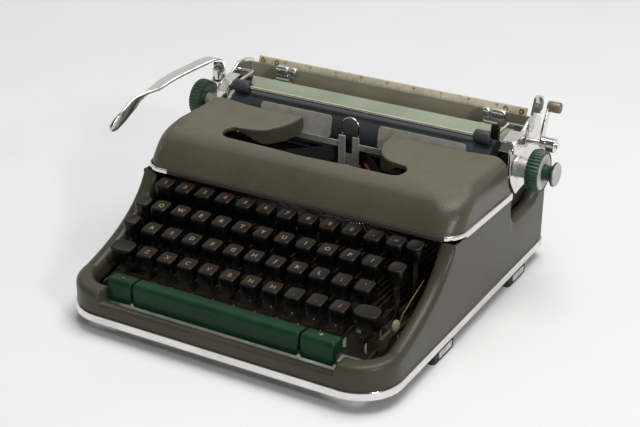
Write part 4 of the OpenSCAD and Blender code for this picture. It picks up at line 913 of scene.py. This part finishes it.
# Card holders: sheets with rounded corners, touching a circle round the platen at an angle
card = Sizes(spans=((-88, -19), (25, 103)), h=18.6, r=3.0, low=108.3, touchR=19, touchDeg=10,
    off=(0.05, 0.85))
touch = math.radians(card.touchDeg)
sheets = []
for x0, x1 in card.spans:
    w, h, r = x1 - x0, card.h, card.r
    sheetRing = join([arcs([w - r, r], r, 270, 360, 8), arcs([w - r, h - r], r, 0, 90, 8),
            arcs([r, h - r], r, 90, 180, 8), arcs([r, r], r, 180, 270, 8)])
    z = card.low + sheetRing[:, 1]
    y = (axle[0] - card.touchR * math.cos(touch)
        + (z - axle[1] - card.touchR * math.sin(touch)) * math.tan(touch))
    sheets.append(skin([columns([x0 + sheetRing[:, 0], y - off, z]) for off in card.off]))
addPiece("card_holder_sheets", sheets, celluloid, "machine", ["card_holders"])

# Plate between the wires of the vibrator, behind the slot of the type guide
addPiece("vibrator_plate", [block([-6.5, 60.3, 80], [6.5, 60.8, 97.5])], satin, "vibrator")
# Red lower edge of the ribbon where it leaves the guide to the right, a strip along the ribbon's run
redEdge = Sizes(run=[47.5, -47.9], start=[13.8, 61.1], length=14, thick=[-0.18, -0.18], z=(89.6, 92.8))
run = np.array(redEdge.run) / math.hypot(*redEdge.run)
edgeLine = np.array(redEdge.start) + np.outer([0, redEdge.length], run)
edgeRing = join([edgeLine, (edgeLine + redEdge.thick)[::-1]])
addPiece("ribbon_red_edge", [skin([columns([edgeRing, np.full(4, z)]) for z in redEdge.z])],
    ribbonRed, "machine")

# Carriage release: turned hub with a groove, a curved arm and a worn grip
release = Sizes(hub=[[146, 2.6], [146, 5.7], [146.4, 6], [150.6, 6], [150.9, 5.6], [151.3, 5.6], [151.6, 6],
        [158.4, 6], [159, 5.5], [159, 2.6]],
    arm=[[117, 118], [116.4, 125], [118.5, 132], [122.5, 139], [127, 147]], armHalf=(4.6, 3.4),
    armX=(146.1, 147.9),
    grip=[[146, 0.3], [146, 3.8], [146.6, 4.4], [147.4, 4.5], [156.2, 4.5], [156.8, 4.1],
        [157, 3.4], [157, 0.3]])
armLine = smooth(release.arm, 40)
armOut = np.linspace(*release.armHalf, 40)[:, None] * besideLine(armLine, -1.0)
armLoop = join([armLine + armOut, (armLine - armOut)[::-1]])
releaseArm = [lathe(release.hub, release.arm[0], 56), slab(armLoop, release.armX)]
addPiece("carriage_release_arm", releaseArm, chrome, "carriage_release", ["carriage_release_lever"],
    bevelMm=0.3)
grip = lathe(release.grip, release.arm[-1], 48)
addPiece("carriage_release_grip", [grip], wornGrip, "carriage_release")
print("carriage made")

# Stage: pale floor, white surroundings, one large soft light overhead and a small one at the front right
floorMesh = bpy.data.meshes.new("floor")
floorMesh.from_pydata([(-6, -6, 0), (6, -6, 0), (6, 6, 0), (-6, 6, 0)], [], [(0, 1, 2, 3)])
floor = bpy.data.objects.new("floor", floorMesh)
link(floor)
# Table top, matt and nearly white
floorMesh.materials.append(makeFinish("PaleTable", "#e6e5e4", "#eae9e8", 300, (0.6, 0.65)))

world = bpy.data.worlds.new("studio")
world.use_nodes = True
scene.world = world
tree = world.node_tree
tree.nodes.clear()
# Surroundings: white behind and round the horizon, dark over the viewer; only camera and mirror rays see them
sky = addNode(tree, "SeparateXYZ", {0: addNode(tree, "TexCoord").outputs["Generated"]})
behind = remap(tree, sky.outputs["Y"], -0.1, 0.4, 0.14, 0.8)
horizon = remap(tree, sky.outputs["Z"], 0.05, 0.3, 0.9, 0.0)
rays = addNode(tree, "LightPath")
seen = combine(tree, "ADD", rays.outputs["Is Camera Ray"], rays.outputs["Is Glossy Ray"])
seen = combine(tree, "ADD", seen, rays.outputs["Is Transmission Ray"], True)
ambient = addNode(tree, "Background", {"Color": linear("#f2f4f7"), "Strength": 0.33})
backdrop = addNode(tree, "Background", {"Color": linear("#ececeb"),
        "Strength": combine(tree, "MAXIMUM", behind, horizon)})
mixed = addNode(tree, "MixShader", {0: seen, 1: ambient.outputs[0], 2: backdrop.outputs[0]})
addNode(tree, "OutputWorld", {"Surface": mixed.outputs[0]})


def addLight(name, place, sizeM, watts, colour, target=(0, 0, 0.05)):
    lamp = bpy.data.lights.new(name, "AREA")
    lamp.shape, lamp.size, lamp.size_y = "RECTANGLE", sizeM, sizeM
    lamp.energy, lamp.color = watts, linear(colour)[:3]
    holder = bpy.data.objects.new(name, lamp)
    holder.location = place
    holder.rotation_euler = (Vector(target) - Vector(place)).to_track_quat("-Z", "Y").to_euler()
    link(holder)


addLight("softTop", (0.45, 0.22, 2.9), 1.9, 71, "#fefefe")
addLight("fillRight", (2.2, -1.2, 1.4), 0.35, 22, "#fbfcff")

# Camera fitted to the photograph: place in metres, yaw, pitch and roll in degrees, focal length in pixels
shot = Sizes(place=(0.52568, -0.93002, 0.57273), yaw=29.215, pitch=25.325, roll=0.563, focal=1457.9,
    pixels=640, sensorMm=36.0)
yaw, pitch, roll = [math.radians(shot[k]) for k in ("yaw", "pitch", "roll")]
ahead = np.array([-math.sin(yaw) * math.cos(pitch), math.cos(yaw) * math.cos(pitch), -math.sin(pitch)])
right = np.array([math.cos(yaw), math.sin(yaw), 0])
up = np.cross(right, ahead)
right, up = right * math.cos(roll) + up * math.sin(roll), up * math.cos(roll) - right * math.sin(roll)
lens = bpy.data.cameras.new("photoCamera")
lens.sensor_fit, lens.sensor_width = "HORIZONTAL", shot.sensorMm
lens.lens = shot.focal * shot.sensorMm / shot.pixels
lens.clip_start, lens.clip_end = 0.05, 50
camera = bpy.data.objects.new("photoCamera", lens)
axes = columns([right, up, -ahead, shot.place]).tolist()
camera.matrix_world = Matrix(axes + [[0, 0, 0, 1]])
link(camera)
scene.camera = camera
scene.view_settings.view_transform = "Standard"
print("stage, light and camera set")

bpy.context.view_layer.update()
